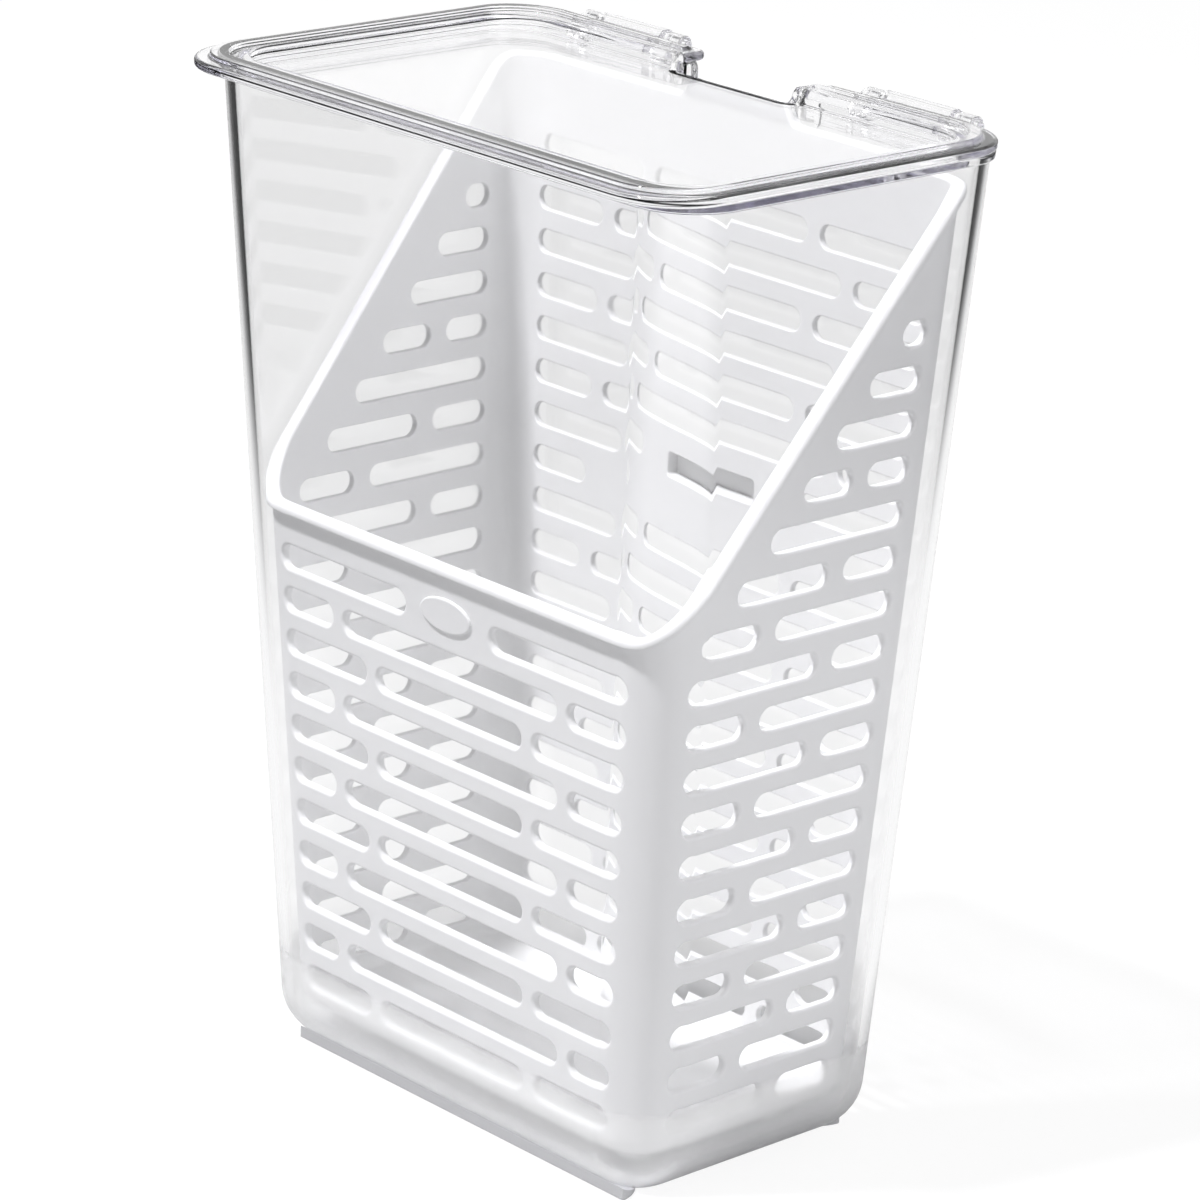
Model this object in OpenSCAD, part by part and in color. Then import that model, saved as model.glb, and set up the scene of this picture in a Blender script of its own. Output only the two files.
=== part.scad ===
// Herb keeper: clear tapered container with a hinged clear lid and a slotted lift-out basket
// Millimetres, +Z up, +Y to the hinge side, origin under the middle at the resting plane

/* [Container] */
// Outer width at the rim
body_w = 145; // [135:1:155]
// Outer depth at the rim
body_d = 92.2; // [86:0.2:98]
// Height from the base to the rim top
body_h = 216; // [200:1:232]
// How far each side wall leans in at the base
side_lean = 12.8; // [10:0.1:14]
// How far the front wall leans in at the base
front_lean = 13.4; // [11:0.1:15]
// How far the rear wall leans in at the base
rear_lean = 5.7; // [4:0.1:7]
// Wall thickness
wall = 2; // [1.6:0.1:2.4]
// Radius of the upright corners
corner_r = 12.8; // [12.4:0.2:15]
// Radius between the walls and the floor
base_r = 10.9; // [8:0.1:11]
// Floor thickness
floor_t = 2.2; // [1.8:0.1:2.8]
// How far the rim bead stands out
bead_out = 1.4; // [0.8:0.1:2]
// How far the rim bead stands out at the rear
bead_rear = 0.6; // [0.3:0.1:1]
// Height of the rim bead
bead_h = 1.9; // [1.2:0.1:3]
// Width of the notch in the rear wall
notch_w = 34; // [30:1:40]
// Depth of the notch below the rim
notch_drop = 9; // [7:0.5:14]

/* [Lid] */
// Thickness of the lid flange
flange_t = 2.1; // [1.6:0.1:3]
// Overhang of the lid at each side
lid_side = 2.5; // [2:0.1:4]
// Overhang of the finger lip at the front
lid_front = 7; // [5:0.5:10]
// Overhang of the lid behind the rear wall
lid_rear = 1.8; // [1.4:0.1:2]
// Height of the ridge round the lid
ridge_h = 1.1; // [0.6:0.1:2]
// Width of the ridge
ridge_w = 2.4; // [1.6:0.1:3]
// Width of the ridge along the front
ridge_front_w = 4; // [2.4:0.1:5]
// How far the ridge is set in at the sides
ridge_side = 2.8; // [1.6:0.1:3.4]
// How far the ridge is set in at the front
ridge_front = 2.6; // [1.6:0.1:3.6]
// How far the ridge is set in at the rear
ridge_rear = 4; // [3:0.1:5]
// How far the panel is sunk below the flange
panel_drop = 3.4; // [2.4:0.1:4]
// Thickness of the panel and its side wall
panel_t = 1.8; // [1.4:0.1:2.2]
// Clearance of the sunk panel in the mouth
plug_gap = 0.5; // [0.4:0.1:0.9]
// Distance of the sunk panel from the outside of the rear wall
plug_rear = 5.6; // [5:0.1:7]
// Clearance of the lid notch in front of the basket tab
notch_gap = 3.9; // [2:0.1:5]

/* [Hinge] */
// Outer radius of the knuckles
knuckle_r = 2.2; // [2:0.1:2.6]
// Radius of the hinge pins
pin_r = 1.1; // [0.9:0.1:1.3]
// Radial clearance of the pin in the lid knuckle
pin_gap = 0.05; // [0.02:0.01:0.08]
// Hinge axis behind the rear wall
axis_back = 3.3; // [3:0.1:3.6]
// Hinge axis above the rim
axis_up = 1; // [0.6:0.1:1.2]
// Distance of each hinge's middle from the outside of the side wall
hinge_in = 30; // [27:0.5:34]
// Length of each lid knuckle
knuckle_w = 20; // [16:0.5:24]
// Length of each container ear
ear_w = 5; // [4:0.5:6]
// Play between a knuckle and its ears
ear_gap = 0.4; // [0.3:0.1:0.6]
// Height of the block under each ear
ear_h = 5; // [4:0.5:7]
// Clearance of the lid in front of the ears
ear_relief = 0.7; // [0.5:0.1:1]
// How far each pin stands out of its ears
pin_over = 1.2; // [0.6:0.1:1.8]

/* [Basket] */
// Clearance of the basket lip in the container at the sides
clear_side = 0.9; // [0.7:0.1:2]
// Clearance of the lip at the front
clear_front = 0.8; // [0.6:0.1:2]
// Clearance of the lip at the rear
clear_rear = 1.7; // [1.5:0.1:3]
// Wall thickness of the basket
bk_wall = 2; // [1.6:0.1:2.4]
// Radius of the basket's upright corners
bk_corner = 10.4; // [9:0.1:12]
// Radius between the basket walls and its floor
bk_base_r = 6; // [4:0.1:8]
// Height of the basket feet
bk_foot_h = 6; // [4:0.1:8]
// Radius of the basket feet
bk_foot_r = 4; // [3:0.1:5]
// How far the middle of a basket foot is set in
bk_foot_in = 14; // [12:0.5:18]
// Height of the front rim
bk_front_h = 124.7; // [118:0.1:130]
// Height of the rear rim below the container rim
bk_rear_drop = 7.2; // [7:0.1:9]
// Thickness of the rim lip
lip_t = 1.9; // [1.4:0.1:2.4]
// How far the lip stands out
lip_out = 1.6; // [1:0.1:1.8]
// Height of the raised tab at the rear
tab_h = 5.4; // [3:0.1:6]
// Clearance of the tab in the notch at each side
tab_gap = 2.5; // [2:0.1:5]
// Level part of the rim at the rear
rim_flat = 7; // [5:0.5:10]
// Spacing of the slot rows
row_pitch = 9.6; // [9.4:0.1:9.7]
// Height of a slot
slot_h = 5.2; // [4.4:0.1:5.8]
// Height of the lowest slot row
row_low = 17.2; // [16.8:0.1:18]
// Web between two slots of a row
bridge = 3.6; // [2.6:0.1:4.6]
// Half length of a long middle slot
mid_long = 33; // [30:0.5:36]
// Half length of a short middle slot
mid_short = 22.4; // [19:0.2:25]
// Half length of the bare field in the top front row
field_half = 13.2; // [11:0.2:16]
// Solid margin beside the slots in the front and rear walls
edge_front = 8.7; // [7.5:0.1:10]
// Solid margin at the front of the side walls
edge_low = 8.3; // [7.5:0.1:10]
// Solid margin at the rear of the side walls
edge_rear = 10.4; // [9:0.1:12]
// Solid margin behind the slanted rim
edge_rim = 13.4; // [12:0.1:15]
// Length of a short slot in the side walls
side_short = 15; // [13:0.1:16]
// Web between the slots in the side walls
side_web = 4.6; // [3.6:0.1:5.6]
// Width of the window in the rear wall
window_w = 25.6; // [20:0.2:30]
// Height of the window
window_h = 5.2; // [4:0.1:6]
// Depth of the pocket behind the window
pocket_d = 2; // [1.4:0.1:2.4]
// Thickness of the pocket walls
pocket_t = 1.2; // [0.8:0.1:1.6]

/* [Feet] */
// How far the ends of a foot strip are set in from the side walls
foot_end = 7.9; // [7:0.1:16]
// Width of each foot strip
foot_w = 8; // [6:0.2:10]
// How far the feet stand out below the base
foot_h = 1; // [0.6:0.1:1.5]
// How far a foot is set in from the wall
foot_in = 4.8; // [3.6:0.1:5.6]

/* [Hidden] */
rim_z = foot_h + body_h;
foot_len = body_w - 2 * side_lean - 2 * foot_end;
top_hw = body_w / 2;
hinge_x = top_hw - hinge_in;
// The bounding box runs from the finger lip to the back of the knuckles
box_d = lid_front + body_d + axis_back + knuckle_r;
top_front = lid_front - box_d / 2;
top_rear = top_front + body_d;
axis_y = top_rear + axis_back;
axis_z = rim_z + axis_up;
lid_hw = top_hw + lid_side;
lid_y0 = top_front - lid_front;
lid_y1 = top_rear + lid_rear;
plug_hw = top_hw - wall - plug_gap;
plug_y0 = top_front + wall + plug_gap;
plug_y1 = top_rear - plug_rear;
ridge_hw = lid_hw - ridge_side;
ridge_y0 = lid_y0 + ridge_front;
ridge_y1 = lid_y1 - ridge_rear;
panel_z = rim_z + flange_t - panel_drop;
plug_z = panel_z - panel_t;
ear_x = hinge_x - knuckle_w / 2 - ear_gap - ear_w;
ear_x2 = hinge_x + knuckle_w / 2 + ear_gap;
pin_len = ear_x2 + ear_w - ear_x + 2 * pin_over;
in_z = foot_h + floor_t;
bk_floor = in_z + bk_foot_h;
gap_side = wall + lip_out + clear_side;
gap_front = wall + lip_out + clear_front;
gap_rear = wall + lip_out + clear_rear;
bk_rear_h = rim_z - bk_rear_drop;
tab_w = notch_w - 2 * tab_gap;
rows_side = 18;
rows_front = 11;
rows_rear = 19;
// Side view of the basket rim: it climbs from the front rim to the rear rim
climb_y0 = bface(bk_front_h) - 0.2;
climb_y1 = bback(bk_rear_h) - rim_flat;
climb = (bk_rear_h - bk_front_h) / (climb_y1 - climb_y0);
window_z = row_z(12) - slot_h / 2 - pocket_t;
window_y = bback(row_z(12));
lip_drop = lip_t * sqrt(1 + climb * climb);
tab_y = bback(bk_rear_h) - 0.2;

// Half width, front and rear of the container at a height
function up(z) = (z - foot_h) / body_h;
function half(z) = top_hw - side_lean * (1 - up(z));
function face(z) = top_front + front_lean * (1 - up(z));
function back(z) = top_rear - rear_lean * (1 - up(z));
// The same for the basket
function bhalf(z) = half(z) - gap_side;
function bface(z) = face(z) + gap_front;
function bback(z) = back(z) - gap_rear;
// Height of slot row n, counted from the lowest, and the rim's place at a height
function row_z(n) = row_low + n * row_pitch;
function climb_at(z) = climb_y0 + (z - bk_front_h) / climb;

// A rectangle with round corners, from exact pieces
module round_rect(x0, x1, y0, y1, r) {
  translate([x0 + r, y0])
    square([x1 - x0 - 2 * r, y1 - y0]);
  translate([x0, y0 + r])
    square([x1 - x0, y1 - y0 - 2 * r]);
  for (x = [x0 + r, x1 - r])
    for (y = [y0 + r, y1 - r])
      translate([x, y])
        circle(r = r, $fn = 64);
}

// One level of a tapered body
module level(z, hw, y0, y1, r) {
  for (x = [-hw + r, hw - r])
    for (y = [y0 + r, y1 - r])
      translate([x, y, z])
        cylinder(h = 0.02, r = r, $fn = 40);
}

// Tapered body, grown by gs, gf and gr at the sides, front and rear, with a rounded lower edge
module taper(z0, z1, gs, gf, gr, cr, br) {
  hull() {
    level(z1, half(z1) + gs, face(z1) - gf, back(z1) + gr, cr);
    for (a = [0 : 15 : 90]) {
      z = z0 + br * (1 - sin(a));
      i = br * (1 - cos(a));
      level(z, half(z) - i + gs, face(z) + i - gf, back(z) - i + gr, max(cr - i, 0.8));
    }
  }
}

module container_outer() {
  taper(foot_h, rim_z - 0.02, 0, 0, 0, corner_r, base_r);
}

module ear(x) {
  translate([x, axis_y, axis_z])
    rotate([0, 90, 0])
      cylinder(h = ear_w, r = knuckle_r, $fn = 48);
  translate([x, top_rear - wall - 1, rim_z - ear_h])
    cube([ear_w, axis_back + wall + 1, ear_h]);
}

module container() {
  color([0.9, 0.92, 0.95, 0.35])
    difference() {
      union() {
        container_outer();
        translate([0, 0, rim_z - bead_h])
          linear_extrude(bead_h)
            round_rect(-top_hw - bead_out, top_hw + bead_out, top_front - bead_out,
              top_rear + bead_rear, corner_r + bead_out);
        for (s = [0, 1])
          mirror([s, 0, 0]) {
            ear(ear_x);
            ear(ear_x2);
          }
      }
      taper(in_z, rim_z + 4, -wall, -wall, -wall, corner_r - wall, base_r - wall);
      translate([-notch_w / 2, top_rear - wall - 2, rim_z - notch_drop])
        cube([notch_w, wall + 2 + bead_rear + 5, notch_drop + 8]);
      for (s = [-1, 1])
        translate([s * hinge_x, axis_y, axis_z])
          rotate([0, 90, 0])
            cylinder(h = pin_len + 2, r = pin_r, center = true, $fn = 48);
    }
}

module lid() {
  color([0.92, 0.93, 0.96, 0.35])
    difference() {
      union() {
        translate([0, 0, rim_z])
          linear_extrude(flange_t)
            round_rect(-lid_hw, lid_hw, lid_y0, lid_y1, corner_r + lid_side - 0.3);
        translate([0, 0, rim_z + flange_t])
          linear_extrude(ridge_h)
            difference() {
              round_rect(-ridge_hw, ridge_hw, ridge_y0, ridge_y1, corner_r + 3);
              round_rect(-ridge_hw + ridge_w, ridge_hw - ridge_w, ridge_y0 + ridge_front_w,
                ridge_y1 - ridge_w, corner_r + 3 - ridge_w);
            }
        translate([0, 0, plug_z])
          linear_extrude(rim_z - plug_z + 0.4)
            round_rect(-plug_hw, plug_hw, plug_y0, plug_y1, corner_r - wall - 0.2);
        for (s = [-1, 1])
          translate([s * hinge_x, axis_y, axis_z])
            rotate([0, 90, 0])
              cylinder(h = knuckle_w, r = knuckle_r, center = true, $fn = 48);
      }
      translate([0, 0, panel_z])
        linear_extrude(panel_drop + ridge_h + 4)
          round_rect(-plug_hw + panel_t, plug_hw - panel_t, plug_y0 + panel_t, plug_y1 - panel_t,
            corner_r - wall - panel_t);
      translate([-notch_w / 2, tab_y - bk_wall - notch_gap, plug_z - 1])
        cube([notch_w, 40, 20]);
      for (s = [0, 1])
        mirror([s, 0, 0])
          for (x = [ear_x, ear_x2])
            translate([x - ear_gap, axis_y - knuckle_r - ear_relief, rim_z - 4])
              cube([ear_w + 2 * ear_gap, 20, 20]);
      for (s = [-1, 1])
        translate([s * hinge_x, axis_y, axis_z])
          rotate([0, 90, 0])
            cylinder(h = knuckle_w + 6, r = pin_r + pin_gap, center = true, $fn = 48);
    }
}

// A slot with round ends that runs along Y through a wall, from x0 to x1
module slot_y(x0, x1, z, y0, y1) {
  translate([0, y1, z])
    rotate([90, 0, 0])
      linear_extrude(y1 - y0)
        pill(x0, x1);
}

// A slot that runs along X through both side walls, from y0 to y1
module slot_x(y0, y1, z) {
  translate([-top_hw - 5, 0, z])
    rotate([90, 0, 90])
      linear_extrude(2 * top_hw + 10)
        pill(y0, y1);
}

module pill(a, b) {
  r = min(slot_h / 2, (b - a) / 2 - 0.1);
  translate([a + r, -slot_h / 2])
    square([b - a - 2 * r, slot_h]);
  for (p = [a + r, b - r])
    translate([p, 0])
      circle(r = r, $fn = 32);
  if (r < slot_h / 2)
    translate([a, -0.6])
      square([b - a, 1.2]);
}

// Brick pattern: rows with a wide and rows with a narrow middle slot
module wall_row(n, y0, y1, middle) {
  z = row_z(n);
  edge = bhalf(z) - edge_front;
  wide = n % 2 == 1;
  m = wide ? mid_long : mid_short;
  if (middle)
    slot_y(-m, m, z, y0, y1);
  for (s = [0, 1])
    mirror([s, 0, 0])
      slot_y(m + bridge, edge, z, y0, y1);
}

module side_row(n) {
  z = row_z(n);
  low = bface(z) + edge_low;
  y0 = max(low, climb_at(z) + edge_rim);
  y1 = bback(z) - edge_rear;
  cut = y0 > low;
  if (n % 2 == 1) {
    if (cut && n > 12)
      slot_x(y0, y1, z);
    else {
      m = y0 + min(side_short, 0.39 * (y1 - y0));
      slot_x(y0, m, z);
      slot_x(m + side_web, y1, z);
    }
  } else if (n > 15) {
    slot_x(y0, y1, z);
  } else {
    m = y1 - min(side_short, 0.39 * (y1 - y0));
    slot_x(y0, m - side_web, z);
    slot_x(m, y1, z);
  }
}

// Space above the rim line, moved down by d
module above(d, e) {
  translate([-top_hw - 20, 0, 0])
    rotate([90, 0, 90])
      linear_extrude(2 * top_hw + 40)
        polygon([[-150, bk_front_h - d], [climb_y0 + e, bk_front_h - d],
          [climb_y1 + e, bk_rear_h - d], [150, bk_rear_h - d], [150, 400], [-150, 400]]);
}

module basket() {
  shift = (lip_drop - lip_t) / climb;
  color([0.97, 0.97, 0.97])
    difference() {
      union() {
        difference() {
          taper(bk_floor, bk_rear_h + 3, -gap_side, -gap_front, -gap_rear, bk_corner, bk_base_r);
          above(0.01, 0);
        }
        difference() {
          taper(bk_floor, bk_rear_h + 3, -gap_side + lip_out, -gap_front + lip_out, -gap_rear + lip_out,
            bk_corner + lip_out, bk_base_r);
          above(0, 0);
          difference() {
            translate([-200, -200, -10])
              cube([400, 400, 600]);
            above(lip_t, shift);
          }
        }
        tab();
        pocket();
        for (x = [-1, 1])
          for (y = [bface(bk_floor) + bk_foot_in, bback(bk_floor) - bk_foot_in])
            translate([x * (bhalf(bk_floor) - bk_foot_in), y, in_z])
              cylinder(h = bk_foot_h + bk_wall / 2, r = bk_foot_r, $fn = 32);
      }
      taper(bk_floor + bk_wall, bk_rear_h + 6, -gap_side - bk_wall, -gap_front - bk_wall,
        -gap_rear - bk_wall, bk_corner - bk_wall, bk_base_r - bk_wall);
      for (n = [0 : rows_side - 1])
        side_row(n);
      for (n = [0 : rows_front - 2])
        wall_row(n, -120, bface(row_z(n)) + bk_wall + 8, true);
      for (s = [0, 1])
        mirror([s, 0, 0])
          slot_y(field_half, bhalf(row_z(10)) - edge_front, row_z(10), -120, bface(row_z(10)) + bk_wall + 8);
      for (n = [0 : rows_rear - 1])
        wall_row(n, bback(row_z(n)) - bk_wall - 8, 120, n != 11 && n != 12);
      translate([-window_w / 2, window_y - 10, window_z])
        cube([window_w, 10 + pocket_d - pocket_t, window_h]);
    }
}

// The raised tab carries the rear wall up through the notch
module tab() {
  translate([0, tab_y, 0])
    rotate([90, 0, 0])
      linear_extrude(bk_wall)
        polygon([[-tab_w / 2 - 5, bk_rear_h - 4], [tab_w / 2 + 5, bk_rear_h - 4],
          [tab_w / 2 + 5, bk_rear_h - 0.5], [tab_w / 2 + 1, bk_rear_h + 1.2],
          [tab_w / 2, bk_rear_h + tab_h], [-tab_w / 2, bk_rear_h + tab_h],
          [-tab_w / 2 - 1, bk_rear_h + 1.2], [-tab_w / 2 - 5, bk_rear_h - 0.5]]);
}

// Closed pocket behind the rear window
module pocket() {
  translate([-window_w / 2 - pocket_t, window_y - 1, window_z - pocket_t])
    cube([window_w + 2 * pocket_t, 1 + pocket_d, window_h + 2 * pocket_t]);
}

module pin(s) {
  color([0.8, 0.82, 0.86, 0.6])
    translate([s * hinge_x, axis_y, axis_z])
      rotate([0, 90, 0])
        cylinder(h = pin_len, r = pin_r, center = true, $fn = 48);
}

module hinge_pin_left() {
  pin(-1);
}

module hinge_pin_right() {
  pin(1);
}

module foot(y) {
  color([0.78, 0.78, 0.78])
    difference() {
      translate([-foot_len / 2, y, 0])
        cube([foot_len, foot_w, foot_h + 3]);
      container_outer();
    }
}

module front_foot() {
  foot(face(foot_h) + foot_in);
}

module rear_foot() {
  foot(back(foot_h) - foot_in - foot_w);
}

container();
lid();
basket();
hinge_pin_left();
hinge_pin_right();
front_foot();
rear_foot();
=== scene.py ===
"""Herb keeper dressed for rendering: clear container, hinged clear lid, white slotted basket.

Every length below is in millimetres until a mesh is written, when it becomes metres.
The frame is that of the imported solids: +Z up, +Y to the hinge side, origin under the middle.
"""

import logging
import math
from dataclasses import dataclass, field
from enum import Enum

import bpy
import numpy as np
from bpy.types import Material, Node, NodeSocket, NodeTree, Object
from mathutils import Matrix, Vector
from mathutils.geometry import delaunay_2d_cdt


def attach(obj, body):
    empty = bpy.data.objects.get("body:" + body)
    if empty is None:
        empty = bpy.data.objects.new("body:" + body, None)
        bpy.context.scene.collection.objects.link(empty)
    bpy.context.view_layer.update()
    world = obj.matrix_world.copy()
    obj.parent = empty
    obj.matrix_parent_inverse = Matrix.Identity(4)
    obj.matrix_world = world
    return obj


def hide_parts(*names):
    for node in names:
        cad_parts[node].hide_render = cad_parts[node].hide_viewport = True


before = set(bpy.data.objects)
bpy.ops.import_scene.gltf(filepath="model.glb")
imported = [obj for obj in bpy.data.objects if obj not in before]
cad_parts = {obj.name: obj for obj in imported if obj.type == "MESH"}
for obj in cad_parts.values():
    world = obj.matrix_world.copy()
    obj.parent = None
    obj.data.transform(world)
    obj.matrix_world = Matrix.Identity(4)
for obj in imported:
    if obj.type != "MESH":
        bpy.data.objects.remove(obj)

Array = np.ndarray
Pair = tuple[float, float]
Triple = tuple[float, float, float]
Quad = tuple[float, float, float, float]
MM = 0.001
HALF_PI = math.pi / 2
LOG = logging.getLogger("herb_keeper")
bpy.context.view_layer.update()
# Points that agree to this many decimals of a millimetre are one
SAME_DECIMALS = 4
# Distances round an outline that agree to this many decimals are one
LINE_DECIMALS = 9
# Distance below which two places on an outline are the same
TINY = 1e-6
WHITE = (1, 1, 1, 1)


# Surfaces as arrays


@dataclass
class Patch:
    """A piece of surface with its own points, normals and faces.

    Attributes:
        points: Points in millimetres, shape (n, 3).
        normals: Unit normals at the points, shape (n, 3).
        faces: Index arrays, each of shape (m, corners).
    """

    points: Array
    normals: Array
    faces: list[Array]


def unit(vectors: Array) -> Array:
    """Vectors scaled to length one along the last axis."""
    return vectors / np.linalg.norm(vectors, axis=-1, keepdims=True)


def quarter(count: int) -> Array:
    """Angles in even steps from zero to a right angle."""
    return np.linspace(0, HALF_PI, count)


def grid_patch(points: Array, normals: Array, closed: bool, flip: bool = False) -> Patch:
    """Quads over a grid of points.

    Args:
        points: Grid of shape (rows, columns, 3).
        normals: Normals of the same shape.
        closed: True if the last column joins the first.
        flip: True to turn the faces round.

    Returns:
        The patch, in which each face's first edge runs along a row.
    """
    rows, cols = points.shape[:2]
    index = np.arange(rows * cols).reshape(rows, cols)
    right = np.roll(index, -1, axis=1) if closed else index[:, 1:]
    left = index if closed else index[:, :-1]
    quads = np.stack([left[:-1], right[:-1], right[1:], left[1:]], axis=-1).reshape(-1, 4)
    if flip:
        quads = quads[:, ::-1]
    return Patch(points.reshape(-1, 3), normals.reshape(-1, 3), [quads])


def cap_patch(loop: Array, normal: Triple, flip: bool = False) -> Patch:
    """One flat face over a closed loop of points.

    Args:
        loop: Points of shape (n, 3), counter-clockwise seen against the normal.
        normal: The face's normal.
        flip: True to turn the face round.

    Returns:
        The patch with its single face.
    """
    order = np.arange(len(loop))
    face = order[::-1] if flip else order
    return Patch(loop, np.tile(np.array(normal, float), (len(loop), 1)), [face[None, :]])


def capped(points: Array, normals: Array, end: Triple, flip: bool = False,
           columns: Array | slice = slice(None)) -> list[Patch]:
    """A closed tube with a flat face on its last ring, and one on its first turned the other way.

    Args:
        points: Grid of shape (rows, columns, 3).
        normals: Normals of the same shape.
        end: Normal of the last ring's face.
        flip: True to turn the faces round.
        columns: Columns that the flat faces use.

    Returns:
        The tube and its two ends.
    """
    start = tuple(-v for v in end)
    return [grid_patch(points, normals, True, flip), cap_patch(points[-1, columns], end, flip),
            cap_patch(points[0, columns], start, not flip)]


def write_mesh(name: str, patches: list[Patch]) -> Object:
    """Joins patches that share edges into one closed mesh and keeps each patch's own normals.

    Points at the same place become one, and faces that this folds up are left out or cut down.

    Args:
        name: Name of the new object.
        patches: The pieces of surface.

    Returns:
        The object, linked to the scene, at the origin.
    """
    points = np.concatenate([p.points for p in patches])
    normals = np.concatenate([p.normals for p in patches])
    rounded = np.round(points, SAME_DECIMALS)
    _, first, same = np.unique(rounded, axis=0, return_index=True, return_inverse=True)
    same = same.reshape(-1)
    corners: list[Array] = []
    totals: list[Array] = []
    start = 0
    for patch in patches:
        for faces in patch.faces:
            faces = faces + start
            if faces.shape[1] <= 4:
                merged = same[faces]
                doubled = merged == np.roll(merged, -1, axis=1)
                bad = doubled.sum(axis=1)
                whole = faces[bad == 0]
                corners.append(whole.reshape(-1))
                totals.append(np.full(len(whole), whole.shape[1]))
                if faces.shape[1] == 4:
                    thin = faces[bad == 1][~doubled[bad == 1]]
                    corners.append(thin)
                    totals.append(np.full(len(thin) // 3, 3))
            else:
                corners.append(faces.reshape(-1))
                totals.append(np.full(len(faces), faces.shape[1]))
        start += len(patch.points)
    loops = np.concatenate(corners)
    total = np.concatenate(totals).astype(np.int32)
    used, vertex = np.unique(same[loops], return_inverse=True)
    co = points[first[used]] * MM
    mesh = bpy.data.meshes.new(name)
    mesh.vertices.add(len(co))
    mesh.vertices.foreach_set("co", co.astype(np.float32).ravel())
    mesh.loops.add(len(loops))
    mesh.loops.foreach_set("vertex_index", vertex.astype(np.int32).ravel())
    mesh.polygons.add(len(total))
    begins = np.concatenate([[0], np.cumsum(total)[:-1]]).astype(np.int32)
    mesh.polygons.foreach_set("loop_start", begins)
    mesh.polygons.foreach_set("loop_total", total)
    mesh.update(calc_edges=True)
    mesh.polygons.foreach_set("use_smooth", np.ones(len(total), bool))
    mesh.normals_split_custom_set(unit(normals[loops]).tolist())
    obj = bpy.data.objects.new(name, mesh)
    bpy.context.scene.collection.objects.link(obj)
    return obj


def rounded_loop(corners: Array, radii: Array, steps: int) -> tuple[Array, Array]:
    """Closed outlines with each corner replaced by an arc that touches both of its sides.

    The arc's centre lies on the bisector at radius over the sine of half the corner angle.

    Args:
        corners: Polygon corners, counter-clockwise, shape (rings, k, 2).
        radii: Arc radii, shape (rings, k).
        steps: Segments of each arc.

    Returns:
        Points and outward normals, each of shape (rings, k * (steps + 1), 2).
    """
    back = unit(np.roll(corners, 1, axis=1) - corners)
    ahead = unit(np.roll(corners, -1, axis=1) - corners)
    half = np.arccos(np.clip((back * ahead).sum(-1), -1, 1)) / 2
    centre = corners + unit(back + ahead) * (radii / np.sin(half))[..., None]
    turn = np.sign(ahead[..., 0] * -back[..., 1] + ahead[..., 1] * back[..., 0])
    turn = np.where(turn == 0, 1.0, -turn)
    foot = corners + back * (radii / np.tan(half))[..., None] - centre
    begin = np.arctan2(foot[..., 1], foot[..., 0])
    sweep = (np.pi - 2 * half) * turn
    angle = begin[..., None] + sweep[..., None] * np.linspace(0, 1, steps + 1)
    ray = np.stack([np.cos(angle), np.sin(angle)], -1)
    points = centre[:, :, None] + ray * radii[..., None, None]
    normals = ray * turn[..., None, None]
    rings = len(corners)
    return points.reshape(rings, -1, 2), normals.reshape(rings, -1, 2)


def inside(points: Array, ring: Array) -> Array:
    """Which points lie inside a closed ring, by the number of its sides that a level ray crosses.

    Args:
        points: Points of shape (n, 2).
        ring: Corners of shape (m, 2).

    Returns:
        Booleans of shape (n,).
    """
    a, b = ring[None], np.roll(ring, -1, axis=0)[None]
    x, y = points[:, None, 0], points[:, None, 1]
    spans = (a[..., 1] > y) != (b[..., 1] > y)
    rise = np.where(b[..., 1] == a[..., 1], 1.0, b[..., 1] - a[..., 1])
    beyond = x < (b[..., 0] - a[..., 0]) * (y - a[..., 1]) / rise + a[..., 0]
    return (spans & beyond).sum(axis=1) % 2 == 1


def eye_bar(corners: list[Pair], radii: list[float], axis: Pair, bore: float,
            span: Pair, edge: float, steps: int = 8, edge_points: int = 4) -> Patch:
    """A rounded profile carried along x, with rounded ends and a round hole through it.

    The rows run from the hole's rim at one end, over the profile, to the rim at the other end
    and back through the hole.

    Args:
        corners: Corners of the profile in y and z, counter-clockwise.
        radii: Radii of the corners.
        axis: Centre of the hole in y and z.
        bore: Radius of the hole.
        span: X of the two ends.
        edge: Radius of the edges at the ends.
        steps: Segments of each corner of the profile.
        edge_points: Points on the quarter circle of an edge.

    Returns:
        The closed surface.
    """
    loop = rounded_loop(np.array([corners], float), np.array([radii], float), steps)
    flat, side = (a[0] for a in loop)
    ray = unit(flat - np.array(axis))
    ring = np.array(axis) + ray * bore
    low, high = span
    rows: list[tuple[float, Array, float, Array]] = []

    def add_edge(x: float, way: float, bend: Array) -> None:
        """Adds the rows of a rounded edge.

        Args:
            x: The end.
            way: Sign of x outward there.
            bend: Angles from the end's face to the side.
        """
        for b in bend:
            back, level = edge * (1 - math.cos(b)), side * edge * (1 - math.sin(b))
            rows.append((x - way * back, flat - level, way * math.cos(b), side * math.sin(b)))

    rows.append((low, ring, -1.0, 0 * side))
    add_edge(low, -1.0, quarter(edge_points))
    add_edge(high, 1.0, quarter(edge_points)[::-1])
    rows += [(high, ring, 1.0, 0 * side), (high, ring, 0.0, -ray), (low, ring, 0.0, -ray)]

    def along_x(x: float, yz: Array) -> Array:
        """Points or vectors with one x and their own y and z."""
        return np.concatenate([np.full((len(flat), 1), x), yz], 1)

    points = np.stack([along_x(x, yz) for x, yz, _, _ in rows])
    normals = np.stack([along_x(nx, n) for _, _, nx, n in rows])
    return grid_patch(points, normals, True)


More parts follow.
